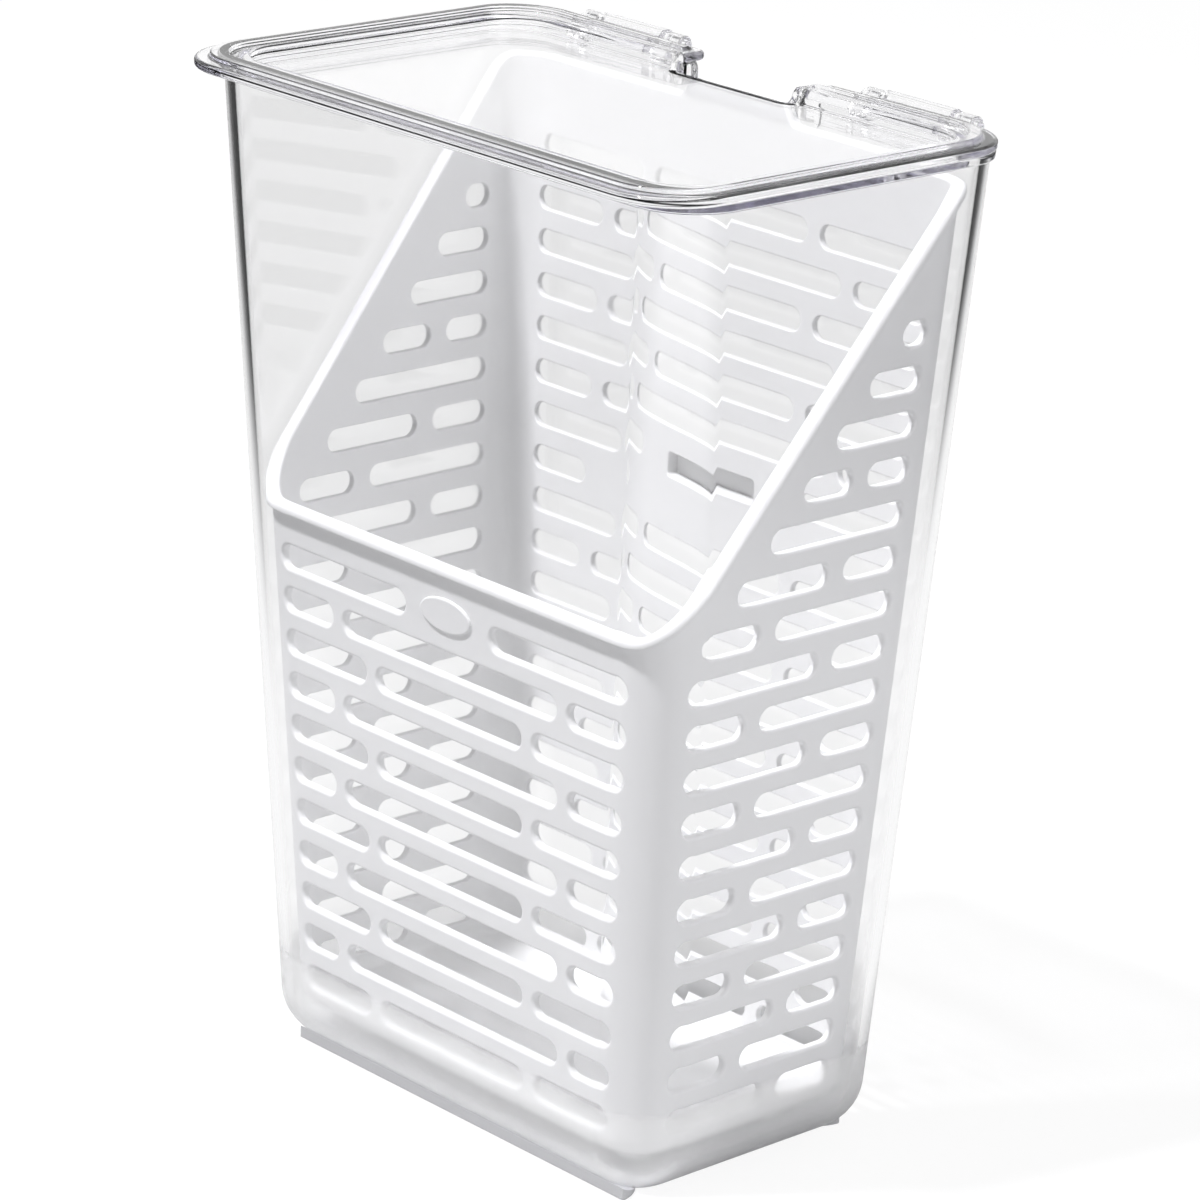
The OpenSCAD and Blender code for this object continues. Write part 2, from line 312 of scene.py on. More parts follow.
def lathe(radius: Array, along: Array, tilt: Array, count: int) -> tuple[Array, Array]:
    """A profile turned about the z axis: each of its points becomes a circle.

    Args:
        radius: Distances of the profile's points from the axis.
        along: Their heights.
        tilt: Angles of their normals below the horizontal.
        count: Points of each circle.

    Returns:
        Points and normals of shape (profile, count, 3).
    """
    turn = np.arange(count) * (2 * math.pi / count)
    ray = np.stack([np.cos(turn), np.sin(turn), np.zeros(count)], -1)
    up = np.array([0.0, 0.0, 1.0])
    points = ray[None] * radius[:, None, None] + up * along[:, None, None]
    normals = ray[None] * np.cos(tilt)[:, None, None] - up * np.sin(tilt)[:, None, None]
    return points, normals


def soft_ramp(x: Array, blend: float) -> Array:
    """Zero below zero and x above it, with a parabola of the given half width between."""
    return np.where(x < -blend, 0.0, np.where(x > blend, x, (x + blend) ** 2 / (4 * blend)))


def smooth_step(x: Array, low: float, high: float) -> Array:
    """Zero below low, one above high, and a cubic between."""
    t = np.clip((x - low) / (high - low), 0, 1)
    return t * t * (3 - 2 * t)


# Tapered bodies


class Wall(Enum):
    """The four flat walls of a tapered body, by their stretch of the outline."""

    FRONT = 0
    RIGHT = 2
    REAR = 4
    LEFT = 6

    @property
    def runs_back(self) -> bool:
        """True if the outline runs against X or Y along this wall."""
        return self in (Wall.REAR, Wall.LEFT)

    @property
    def level(self) -> tuple[int, int]:
        """The wall's level direction in x and y."""
        return (1, 0) if self in (Wall.FRONT, Wall.REAR) else (0, 1)


class Side(Enum):
    """The side of a wall that a loop opens."""

    BOTH = 0
    OUTER = 1
    INNER = 2


STRETCH_FROM = np.array([0, 1, 1, 2, 2, 3, 3, 0])
STRETCH_TO = np.array([1, 1, 2, 2, 3, 3, 0, 0])
STRETCH_TURN = np.radians(np.array([[-90, -90, 0, 0, 90, 90, 180, 180],
                                    [-90, 0, 0, 90, 90, 180, 180, 270]]))
CORNER_X = np.array([-1.0, 1.0, 1.0, -1.0])
CORNER_REAR = np.array([False, False, True, True])


@dataclass(frozen=True)
class Taper:
    """A rounded rectangle that grows in straight lines from a low level to a high one.

    A point is given by q, the distance round the outline, its height z and its depth below the
    surface. The outline is four straight stretches and four arcs, carried on four arc centres.

    Attributes:
        low: Height of the low level.
        high: Height of the high level.
        half: Half width at both levels.
        front: Y of the front wall at both levels.
        rear: Y of the rear wall at both levels.
        corner: Radius of the upright corners.
    """

    low: float
    high: float
    half: Pair
    front: Pair
    rear: Pair
    corner: float

    def at(self, pair: Pair, z: Array) -> Array:
        """A size that grows in a straight line, at height z."""
        return pair[0] + (pair[1] - pair[0]) * (z - self.low) / (self.high - self.low)

    def stretches(self) -> tuple[Array, Array]:
        """The eight stretches of the outline at the middle height.

        Returns:
            Their starts and their lengths.
        """
        middle = (self.low + self.high) / 2
        wide = 2 * (self.at(self.half, middle) - self.corner)
        deep = self.at(self.rear, middle) - self.at(self.front, middle) - 2 * self.corner
        arc = self.corner * math.pi / 2
        lengths = np.array([wide, arc, deep, arc, wide, arc, deep, arc])
        return np.concatenate([[0.0], np.cumsum(lengths)[:-1]]), lengths

    def seam(self) -> float:
        """Distance round the outline where the surface closes, half way along the last arc."""
        return -self.corner * math.pi / 4

    def round(self) -> float:
        """Whole length of the outline."""
        return float(self.stretches()[1].sum())

    def centres(self, z: Array) -> tuple[Array, Array, Array]:
        """X of the right arc centres, and Y of the front and rear ones, at height z."""
        wide = self.at(self.half, z) - self.corner
        return wide, self.at(self.front, z) + self.corner, self.at(self.rear, z) - self.corner

    def place(self, q: Array, z: Array, depth: Array | float = 0.0) -> tuple[Array, Array]:
        """Points and outward normals of the surface.

        The arc centres move in straight lines with z, and a point lies at the corner radius less
        the depth from the centre, in the direction of the stretch. The normal tips down by the
        rate at which the centre moves out.

        Args:
            q: Distance round the outline.
            z: Height.
            depth: Depth below the outer surface.

        Returns:
            Points and unit normals of shape (..., 3).
        """
        q, z, depth = np.broadcast_arrays(q, z, depth)
        starts, lengths = self.stretches()
        q = np.mod(q, self.round())
        k = np.clip(np.searchsorted(starts, q, side="right") - 1, 0, len(starts) - 1)
        share = (q - starts[k]) / lengths[k]
        angle = STRETCH_TURN[0][k] + (STRETCH_TURN[1][k] - STRETCH_TURN[0][k]) * share
        ray = np.stack([np.cos(angle), np.sin(angle)], -1)
        rate = 1 / (self.high - self.low)
        wide, near, far = self.centres(z)

        def centre(corner: Array) -> tuple[Array, Array]:
            """Arc centres and how they move.

            Args:
                corner: Numbers of the corners.

            Returns:
                Places of the centres, and how fast they move with height, of shape (..., 2).
            """
            rear = CORNER_REAR[corner]
            spot = np.stack([CORNER_X[corner] * wide, np.where(rear, far, near)], -1)
            drift_y = np.where(rear, self.rear[1] - self.rear[0], self.front[1] - self.front[0])
            drift = np.stack([CORNER_X[corner] * (self.half[1] - self.half[0]), drift_y], -1)
            return spot, drift * rate

        spot_a, drift_a = centre(STRETCH_FROM[k])
        spot_b, drift_b = centre(STRETCH_TO[k])
        share = share[..., None]
        flat = spot_a + (spot_b - spot_a) * share + ray * (self.corner - depth)[..., None]
        drift = drift_a + (drift_b - drift_a) * share
        points = np.concatenate([flat, z[..., None]], -1)
        normals = np.concatenate([ray, -(drift * ray).sum(-1, keepdims=True)], -1)
        return points, unit(normals)

    def spot(self, wall: Wall, along: Array, z: Array) -> Array:
        """Distance round the outline of a place on a flat wall.

        Args:
            wall: The wall.
            along: X on the front and rear walls, Y on the side walls.
            z: Height.

        Returns:
            q, which runs on along the arcs past the ends of the wall.
        """
        wide, near, far = self.centres(z)
        way = {
            Wall.FRONT: (along + wide, 2 * wide),
            Wall.RIGHT: (along - near, far - near),
            Wall.REAR: (wide - along, 2 * wide),
            Wall.LEFT: (far - along, far - near),
        }
        gone, run = way[wall]
        starts, lengths = self.stretches()
        start, length = starts[wall.value], lengths[wall.value]
        past = np.where(gone > run, start + length + gone - run, start + gone / run * length)
        return np.where(gone < 0, start + gone, past)


@dataclass
class Loop:
    """A closed outline on a wall, where the surface is cut or raised.

    Attributes:
        wall: The wall it lies on.
        along: X or Y of its points, counter-clockwise seen from outside.
        height: Z of its points.
        pull_along: First part of the unit vectors that point into it.
        pull_up: Second part of them.
        side: Which side of the wall it opens.
    """

    wall: Wall
    along: Array
    height: Array
    pull_along: Array
    pull_up: Array
    side: Side = Side.BOTH


def pill_loop(wall: Wall, low: float, high: float, z: float, tall: float, radius: float,
              grow: float, side: Side = Side.BOTH, steps: int = 6) -> Loop:
    """A rectangle with round corners on a wall: an arc of the radius about each of four centres.

    Args:
        wall: The wall.
        low: Least X or Y of the opening.
        high: Greatest X or Y.
        z: Height of its middle.
        tall: Its height.
        radius: Radius of its corners.
        grow: How much larger the outline is than the opening, for the rounded edge.
        side: Which side of the wall it opens.
        steps: Points on each corner.

    Returns:
        The loop.
    """
    middle, reach = (low + high) / 2, (high - low) / 2
    radius = min(radius, tall / 2, reach)
    turn = (np.arange(4 * steps) + 0.5) * (math.pi / 2 / steps)
    cos, sin = np.cos(turn), np.sin(turn)
    along = middle + np.sign(cos) * (reach - radius) + cos * (radius + grow)
    height = z + np.sign(sin) * (tall / 2 - radius) + sin * (radius + grow)
    return Loop(wall, along, height, -cos, -sin, side)


def oval_loop(wall: Wall, middle: float, z: float, wide: float, tall: float, side: Side,
              count: int = 48) -> Loop:
    """An ellipse on a wall, with the pull along the inward normal of the ellipse.

    Args:
        wall: The wall.
        middle: X or Y of its middle.
        z: Height of its middle.
        wide: Its width.
        tall: Its height.
        side: Which side of the wall it opens.
        count: Points round it.

    Returns:
        The loop.
    """
    turn = np.arange(count) * (2 * math.pi / count)
    cos, sin = np.cos(turn), np.sin(turn)
    pull = unit(np.stack([-cos / wide, -sin / tall], -1))
    return Loop(wall, middle + cos * wide / 2, z + sin * tall / 2, pull[:, 0], pull[:, 1], side)


@dataclass
class Rim:
    """The upper edge of a shell, a strip carried along a line round the outline.

    Attributes:
        q: Distance round the outline of the points of the line.
        z: Their heights.
        thick: Thickness of the lip.
        out: How far the lip stands out at each point.
        edges: Radii of its lower outer, upper outer and inner edge.
    """

    q: Array
    z: Array
    thick: float
    out: Array
    edges: Triple

    def rise(self, length: float) -> Array:
        """Unit vectors square to the line, in the unrolled wall, that point up.

        Args:
            length: Length of the whole outline, after which the line repeats.

        Returns:
            Vectors of shape (n, 2).
        """
        q = np.concatenate([[self.q[-2] - length], self.q, [self.q[1] + length]])
        z = np.concatenate([[self.z[-2]], self.z, [self.z[1]]])
        along = unit(np.stack([q[2:] - q[:-2], z[2:] - z[:-2]], -1))
        return np.stack([-along[:, 1], along[:, 0]], -1)


@dataclass
class Shell:
    """A tapered wall of even thickness with a rim, loops and a rounded floor.

    Attributes:
        taper: The outer surface.
        wall: Thickness of the wall.
        base: Height of the underside.
        base_radius: Radius between wall and underside.
        floor: Thickness of the floor.
        arc_steps: Segments of each upright corner, an even number.
        rim: The upper edge.
        loops: Openings and raised fields.
        edge: Radius of the outer edges of the openings.
        edge_in: Radius of their inner edges.
        line_gap: How far the lines on the corners end below the rim.
        lines_at_ends: True if those lines include the ones where the flat walls begin.
        base_points: Points on the quarter circle between wall and underside.
        lip_points: Points on the quarter circles of the rim's edges.
        slot_points: Points on that of the slots' outer edges, an odd number.
        field_points: Points on that of the edge of a raised or sunk field.
    """

    taper: Taper
    wall: float
    base: float
    base_radius: float
    floor: float
    arc_steps: int
    rim: Rim
    loops: list[Loop] = field(default_factory=list)
    edge: float = 0.5
    edge_in: float = 0.35
    line_gap: float = 0.4
    lines_at_ends: bool = False
    base_points: int = 11
    lip_points: int = 6
    slot_points: int = 5
    field_points: int = 4

    def corner_qs(self) -> Array:
        """Lines on the upright corners, at even steps along each arc.

        Returns:
            Their distances round the outline, from seam to seam.
        """
        starts, lengths = self.taper.stretches()
        share = np.linspace(0, 1, self.arc_steps + 1)
        lines = (starts[1::2, None] + lengths[1::2, None] * share).ravel()
        seam, whole = self.taper.seam(), self.taper.round()
        lines = np.where(lines > whole + seam - TINY, lines - whole, lines)
        return np.append(np.unique(np.round(lines, LINE_DECIMALS)), whole + seam)

    def unrolled(self) -> tuple[Array, Array, Array, Array]:
        """The wall laid flat: points in q and z, and triangles between them.

        A constrained triangulation keeps the border, the loops and the lines on the corners as
        edges. A triangle with all its points on one slot fills that slot, and lies on neither side
        of the wall.

        Returns:
            Points of shape (n, 2), triangles of shape (m, 3), and which triangles the outer and the
            inner side keep.
        """
        taper, low = self.taper, self.base + self.base_radius
        lines = self.corner_qs()
        rise = self.rim.rise(taper.round())
        foot = np.stack([lines, np.full(len(lines), low)], -1)
        top = np.stack([self.rim.q, self.rim.z], -1) - rise * self.rim.thick
        starts, lengths = taper.stretches()
        inner = lines[1:-1]
        if not self.lines_at_ends:
            ends = np.concatenate([starts, starts + lengths])
            inner = inner[np.abs(inner[:, None] - ends).min(axis=1) > TINY]
        heads = np.stack([inner, np.interp(inner, top[:, 0], top[:, 1]) - self.line_gap], -1)
        rings = [np.stack([taper.spot(loop.wall, loop.along, loop.height), loop.height], -1)
                 for loop in self.loops]
        points = np.concatenate([foot, top, heads, *rings])
        owner = np.full(len(points), -1)
        n_foot, n_top = len(foot), len(top)
        border = [np.arange(n_foot), np.arange(n_foot, n_foot + n_top)]
        edges = [np.stack([b[:-1], b[1:]], -1) for b in border]
        edges.append(np.array([[0, n_foot], [n_foot - 1, n_foot + n_top - 1]]))
        below = np.searchsorted(lines, inner - TINY)
        edges.append(np.stack([below, n_foot + n_top + np.arange(len(inner))], -1))
        at = n_foot + n_top + len(inner)
        for number, ring in enumerate(rings):
            index = at + np.arange(len(ring))
            owner[index] = number
            edges.append(np.stack([index, np.roll(index, -1)], -1))
            at += len(ring)
        spots, fixed = [Vector(p) for p in points], np.concatenate(edges).tolist()
        made = delaunay_2d_cdt(spots, fixed, [], 1, TINY)
        source = np.array([ids[0] if ids else -1 for ids in made[3]])
        if (source < 0).any():
            LOG.warning("%d points were added where outlines cross", int((source < 0).sum()))
        triangles = source[np.array(made[2])]
        a, b, c = (points[triangles[:, i]] for i in range(3))
        ab, ac = b - a, c - a
        area = ab[:, 0] * ac[:, 1] - ab[:, 1] * ac[:, 0]
        triangles = np.where((area < 0)[:, None], triangles[:, ::-1], triangles)
        who = owner[triangles]
        fills = np.where((who == who[:, :1]).all(axis=1), who[:, 0], -1)
        through = np.array([loop.side is Side.BOTH for loop in self.loops] + [False])[fills]
        outer, inner_side = ~through, ~through
        middle = points[triangles].mean(axis=1)
        for loop, ring in zip(self.loops, rings):
            if loop.side is Side.OUTER:
                outer = outer & ~inside(middle, ring)
            elif loop.side is Side.INNER:
                inner_side = inner_side & ~inside(middle, ring)
        return points, triangles, outer, inner_side

    def wall_patches(self) -> list[Patch]:
        """The unrolled wall placed on the taper, at the surface and at the wall's depth.

        Returns:
            Outer and inner surface, without what the loops open.
        """
        points, triangles, on_outer, on_inner = self.unrolled()
        outer, normals = self.taper.place(points[:, 0], points[:, 1])
        inner, _ = self.taper.place(points[:, 0], points[:, 1], self.wall)
        return [Patch(outer, normals, [triangles[on_outer]]),
                Patch(inner, -normals, [triangles[on_inner][:, ::-1]])]

    def ring_patch(self, loop: Loop, inward: Array, depth: Array, tip: Array,
                   flip: bool = False) -> Patch:
        """A strip that follows a loop: its profile is carried round the loop's points.

        Args:
            loop: The loop.
            inward: Distance of the profile's points into the loop.
            depth: Their depth below the outer surface.
            tip: Angle of their normals, from the wall's outward normal to the loop's inside.
            flip: True to turn the faces round.

        Returns:
            The strip.
        """
        along = loop.along + loop.pull_along * inward[:, None]
        height = loop.height + loop.pull_up * inward[:, None]
        q = self.taper.spot(loop.wall, along, height)
        points, normals = self.taper.place(q, height, depth[:, None])
        x, y = loop.wall.level
        pull = np.stack([loop.pull_along * x, loop.pull_along * y, loop.pull_up], -1)
        tip = tip[:, None, None]
        tipped = unit(normals * np.cos(tip) + pull[None] * np.sin(tip))
        return grid_patch(points, tipped, True, flip ^ loop.wall.runs_back)

    def raised(self, loop: Loop, rise: float, edge: float) -> list[Patch]:
        """A raised field: a straight side, a quarter circle and a flat top.

        Args:
            loop: Outline of the field, open on the outer side.
            rise: Height above the wall.
            edge: Radius of its upper edge.

        Returns:
            Side and top.
        """
        bend = quarter(self.field_points)
        inward = np.concatenate([[0.0], edge * (1 - np.cos(bend))])
        depth = np.concatenate([[0.0], edge - rise - edge * np.sin(bend)])
        tip = np.concatenate([[-HALF_PI], bend - HALF_PI])
        side = self.ring_patch(loop, inward, depth, tip)
        return [side, self.lid_of(side, loop, False)]

    def sunk(self, loop: Loop, beyond: float, edge: float) -> list[Patch]:
        """A closed pocket from the inner side: a quarter circle, a straight side and a floor.

        Args:
            loop: Outline of the pocket, open on the inner side.
            beyond: How far its floor lies outside the outer surface.
            edge: Radius of its edge.

        Returns:
            Side and floor.
        """
        bend = quarter(self.field_points)
        inward = np.append(edge * np.sin(bend), edge)
        depth = np.append(self.wall - edge * (1 - np.cos(bend)), -beyond)
        side = self.ring_patch(loop, inward, depth, np.append(math.pi - bend, HALF_PI), True)
        return [side, self.lid_of(side, loop, True)]

    def lid_of(self, side: Patch, loop: Loop, inward: bool) -> Patch:
        """The flat face on the last ring of a strip.

        Args:
            side: The strip.
            loop: The loop that it follows.
            inward: True if the face looks to the inside.

        Returns:
            The face.
        """
        ring = side.points[-len(loop.along):]
        third = len(ring) // 3
        normal = unit(np.cross(ring[third] - ring[0], ring[2 * len(ring) // 3] - ring[0]))
        turned = inward ^ loop.wall.runs_back
        return cap_patch(ring, tuple(normal * (-1 if turned else 1)), turned)

    def slot_profile(self) -> tuple[Array, Array, Array]:
        """Profile through the wall: large and small quarter circles, and a flat strip inside.

        Returns:
            Distances into the loop, depths and angles of the normals, as ring_patch takes them.
        """
        bend = quarter(self.slot_points)
        back = bend[::-2]
        large, small = self.edge, self.edge_in
        inward = np.concatenate([large * np.sin(bend), large - small + small * np.sin(back), [0.0]])
        deep = self.wall - small * (1 - np.cos(back))
        depth = np.concatenate([large * (1 - np.cos(bend)), deep, [self.wall]])
        return inward, depth, np.concatenate([bend, math.pi - back, [math.pi]])

    def floor_patches(self) -> list[Patch]:
        """Rounded lower edge and floor, outside and inside.

        Each ring is the outline at the depth r (1 - cos t) and the height base + r (1 - sin t).

        Returns:
            The surfaces.
        """
        q = self.corner_qs()[:-1]
        bend = quarter(self.base_points)
        down = np.array([0.0, 0.0, -1.0])
        made = []
        for skin, rise, sign in ((0.0, 0.0, 1), (self.wall, self.floor, -1)):
            z = self.base + rise + (self.base_radius - rise) * (1 - np.sin(bend))
            depth = skin + (self.base_radius - skin) * (1 - np.cos(bend))
            points, normals = self.taper.place(q[None, :], z[:, None], depth[:, None])
            tilt = bend[:, None, None]
            normals = unit(normals * np.cos(tilt) + down * np.sin(tilt)) * sign
            made.append(grid_patch(points, normals, True, sign > 0))
            made.append(cap_patch(points[-1], (0, 0, -sign), sign > 0))
        return made

    def rim_patch(self) -> Patch:
        """The lip: its profile goes out from the wall, up, across the top and down the inside.

        The profile lies in the plane of the wall's normal and the direction square to the rim line.

        Returns:
            The strip.
        """
        rim, thick = self.rim, self.rim.thick
        under, over, inner = rim.edges
        bend = quarter(self.lip_points)
        sin, cos = np.sin(bend), np.cos(bend)
        up = np.concatenate([[-1.0], -cos, sin, cos, [0.0]])
        face = np.concatenate([[0.0], sin, cos, -sin, [-1.0]])
        out = rim.out[:, None]
        low = np.minimum(under, out)
        flat = np.ones(out.shape)
        depth = np.concatenate([0 * flat, -out + low - low * sin, -out + over - over * cos,
                                flat * (self.wall - inner + inner * sin), self.wall * flat], 1)
        climb = np.concatenate([-thick * flat, -thick + low - low * cos,
                                flat * (-over + over * sin), flat * (-inner + inner * cos),
                                -thick * flat], 1)
        rise = rim.rise(self.taper.round())
        q = rim.q[:, None] + rise[:, :1] * climb
        z = rim.z[:, None] + rise[:, 1:] * climb
        points, normals = self.taper.place(q, z, depth)
        along = unit(np.stack([-normals[..., 1], normals[..., 0], np.zeros(q.shape)], -1))
        steep = np.cross(normals, along)
        lift = along * rise[:, None, :1] + steep * rise[:, None, 1:]
        tipped = unit(normals * face[None, :, None] + lift * up[None, :, None])
        return grid_patch(points.transpose(1, 0, 2), tipped.transpose(1, 0, 2), False)

    def patches(self) -> list[Patch]:
        """Wall, floor and rim, with a cut through the wall at each open loop.

        Returns:
            All surfaces of the shell.
        """
        made = self.wall_patches() + self.floor_patches() + [self.rim_patch()]
        profile = self.slot_profile()
        made += [self.ring_patch(loop, *profile) for loop in self.loops if loop.side is Side.BOTH]
        return made


def rim_samples(taper: Taper, step: float, fine: tuple[Pair, ...] = (),
                fine_step: float = 0.4) -> Array:
    """Distances round the outline for a rim line, closer together in some stretches.

    Args:
        taper: The surface.
        step: Usual spacing.
        fine: Stretches in which the points are closer.
        fine_step: Spacing in those stretches.

    Returns:
        Distances from seam to seam.
    """
    seam, whole = taper.seam(), taper.round()
    usual = np.linspace(seam, seam + whole, int(whole / step) + 1)
    parts = [np.arange(a, b, fine_step) for a, b in fine]
    for a, b in fine:
        usual = usual[(usual < a - fine_step / 2) | (usual > b + fine_step / 2)]
    return np.sort(np.concatenate([usual, *parts]))


# Finishes


class NodeBoard:
    """Adds shader nodes to a material or world and links them."""

    def __init__(self, tree: NodeTree) -> None:
        """Clears the tree."""
        self.tree = tree
        tree.nodes.clear()

    def add(self, kind: str, settings: dict | None = None, **inputs: object) -> Node:
        """Adds a node.

        Args:
            kind: Node type, without the words that all of them begin with.
            settings: Values of the node's own properties.
            **inputs: Socket values, each a constant or a socket to link from. The key is the
                socket's name with _ for a blank, or i and its number.

        Returns:
            The node.
        """
        node = self.tree.nodes.new("ShaderNode" + kind)
        for key, value in (settings or {}).items():
            setattr(node, key, value)
        for key, value in inputs.items():
            numbered = key[0] == "i" and key[1:].isdigit()
            socket = node.inputs[int(key[1:]) if numbered else key.replace("_", " ")]
            if isinstance(value, NodeSocket):
                self.tree.links.new(value, socket)
            else:
                socket.default_value = value
        return node

    def sum(self, operation: str, *values: object) -> NodeSocket:
        """Result of an operation on numbers or sockets."""
        inputs = {f"i{number}": value for number, value in enumerate(values)}
        return self.add("Math", {"operation": operation}, **inputs).outputs[0]

    def spread(self, value: object, low: float, high: float, to: Pair = (0.0, 1.0),
               soft: bool = False) -> NodeSocket:
        """A value moved from the range low to high to another range.

        Args:
            value: The value.
            low: Start of its range.
            high: End of its range.
            to: The other range.
            soft: True for a cubic between, else a straight line.

        Returns:
            The result.
        """
        kind = {"interpolation_type": "SMOOTHSTEP" if soft else "LINEAR"}
        return self.add("MapRange", kind, Value=value, From_Min=low, From_Max=high, To_Min=to[0],
                        To_Max=to[1]).outputs["Result"]

    def noise(self, place: NodeSocket, scale: float, detail: float) -> NodeSocket:
        """Clouds of a scale and detail."""
        return self.add("TexNoise", Vector=place, Scale=scale, Detail=detail).outputs["Fac"]

    def bump(self, height: NodeSocket, strength: float, distance: float) -> NodeSocket:
        """Normals of a relief of a strength and depth."""
        node = self.add("Bump", Strength=strength, Distance=distance, Height=height)
        return node.outputs["Normal"]

    def colour(self, share: object, first: object, second: object) -> NodeSocket:
        """Mix of two colours."""
        return self.add("Mix", {"data_type": "RGBA"}, i0=share, i6=first, i7=second).outputs[2]

    def blend(self, share: object, first: Node, second: Node) -> Node:
        """Mix of two shaders."""
        return self.add("MixShader", i0=share, i1=first.outputs[0], i2=second.outputs[0])

    def object_place(self) -> NodeSocket:
        """Place of a point in the object's own frame, in metres."""
        return self.add("TexCoord").outputs["Object"]


def new_material(name: str) -> tuple[Material, NodeBoard]:
    """Makes a material without nodes.

    Args:
        name: Its name.

    Returns:
        The material and the board for its nodes.
    """
    material = bpy.data.materials.new(name)
    material.use_nodes = True
    return material, NodeBoard(material.node_tree)


@dataclass(frozen=True)
class ClearPlastic:
    """Clear glossy moulding: refraction, a faint absorption, and slight flow marks.

    Attributes:
        name: Name of the material.
        tint: Colour that the absorption leaves.
        density: Strength of the absorption per metre.
        ior: Index of refraction.
        gloss: Least and greatest roughness.
        frost_below: Height in metres below which the surface is frosted, or 0 for none.
        frost: Roughness there.
        frost_see: Share of light that passes there.
        frost_edge: Half width in metres of the border of the frost.
        cloud: Scale and detail of the clouds of gloss.
        cloud_range: Values of the clouds between which the gloss changes.
        flow: Scale and detail of the flow marks.
        flow_relief: Strength and depth in metres of the flow marks.
        shade: Colour that the plastic gives to light on its way to other surfaces.
    """

    name: str
    tint: Triple = (0.80, 0.79, 0.86)
    density: float = 20.0
    ior: float = 1.52
    gloss: Pair = (0.015, 0.04)
    frost_below: float = 0.0
    frost: float = 0.2
    frost_see: float = 0.77
    frost_edge: float = 0.0012
    cloud: Pair = (45.0, 3.0)
    cloud_range: Pair = (0.35, 0.7)
    flow: Pair = (14.0, 1.0)
    flow_relief: Pair = (0.015, 0.002)
    shade: Triple = (0.97, 0.97, 0.98)

    def make(self) -> Material:
        """Builds the material.

        Returns:
            The material.
        """
        material, board = new_material(self.name)
        place = board.object_place()
        rough = board.spread(board.noise(place, *self.cloud), *self.cloud_range, self.gloss)
        see: object = 1.0
        if self.frost_below > 0:
            height = board.add("SeparateXYZ", Vector=place).outputs["Z"]
            above, below = self.frost_below + self.frost_edge, self.frost_below - self.frost_edge
            mask = board.spread(height, above, below, soft=True)
            mixed = board.add("Mix", {"data_type": "FLOAT"}, i0=mask, i2=rough, i3=self.frost)
            rough = mixed.outputs[0]
            see = board.spread(mask, 0.0, 1.0, (1.0, self.frost_see))
        relief = board.bump(board.noise(place, *self.flow), *self.flow_relief)
        body = board.add("BsdfPrincipled", Roughness=rough, Normal=relief, IOR=self.ior,
                         Base_Color=WHITE, Transmission_Weight=see)
        clear = board.add("BsdfTransparent", Color=(*self.shade, 1))
        path = board.add("LightPath").outputs
        lights = board.sum("MAXIMUM", path["Is Shadow Ray"], path["Is Diffuse Ray"])
        both = board.blend(lights, body, clear)
        fog = board.add("VolumeAbsorption", Color=(*self.tint, 1), Density=self.density)
        board.add("OutputMaterial", Surface=both.outputs[0], Volume=fog.outputs[0])
        return material


@dataclass(frozen=True)
class SatinPlastic:
    """Opaque moulding with a fine satin grain and slight clouds of colour and gloss.

    Attributes:
        name: Name of the material.
        light: Colour of the light clouds.
        dark: Colour of the dark clouds.
        rough: Least and greatest roughness.
        grain: Scale and detail of the grain.
        relief: Strength and depth in metres of the grain.
        cloud: Scale and detail of the clouds.
        cloud_range: Values of the clouds between which the gloss changes.
        ior: Index of refraction.
    """

    name: str
    light: Triple
    dark: Triple
    rough: Pair = (0.36, 0.48)
    grain: Pair = (900.0, 2.0)
    relief: Pair = (0.06, 0.0003)
    cloud: Pair = (22.0, 4.0)
    cloud_range: Pair = (0.3, 0.7)
    ior: float = 1.49

    def make(self) -> Material:
        """Builds the material.

        Returns:
            The material.
        """
        material, board = new_material(self.name)
        place = board.object_place()
        cloud = board.noise(place, *self.cloud)
        colour = board.colour(cloud, (*self.dark, 1), (*self.light, 1))
        rough = board.spread(cloud, *self.cloud_range, self.rough)
        relief = board.bump(board.noise(place, *self.grain), *self.relief)
        body = board.add("BsdfPrincipled", Base_Color=colour, Roughness=rough, Normal=relief,
                         IOR=self.ior)
        board.add("OutputMaterial", Surface=body.outputs[0])
        return material


# Sub-assemblies


def dress(obj: Object, finish: Material, body: str, slot: str, *nodes: str) -> Object:
    """Gives a piece its finish and body, and hides the solids that it stands for.

    Args:
        obj: The piece.
        finish: Its material.
        body: The body that it rides on.
        slot: The record's material slot; not used.
        *nodes: Solids that it replaces.

    Returns:
        The piece.
    """
    obj.data.materials.append(finish)
    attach(obj, body)
    if nodes:
        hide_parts(*nodes)
    return obj


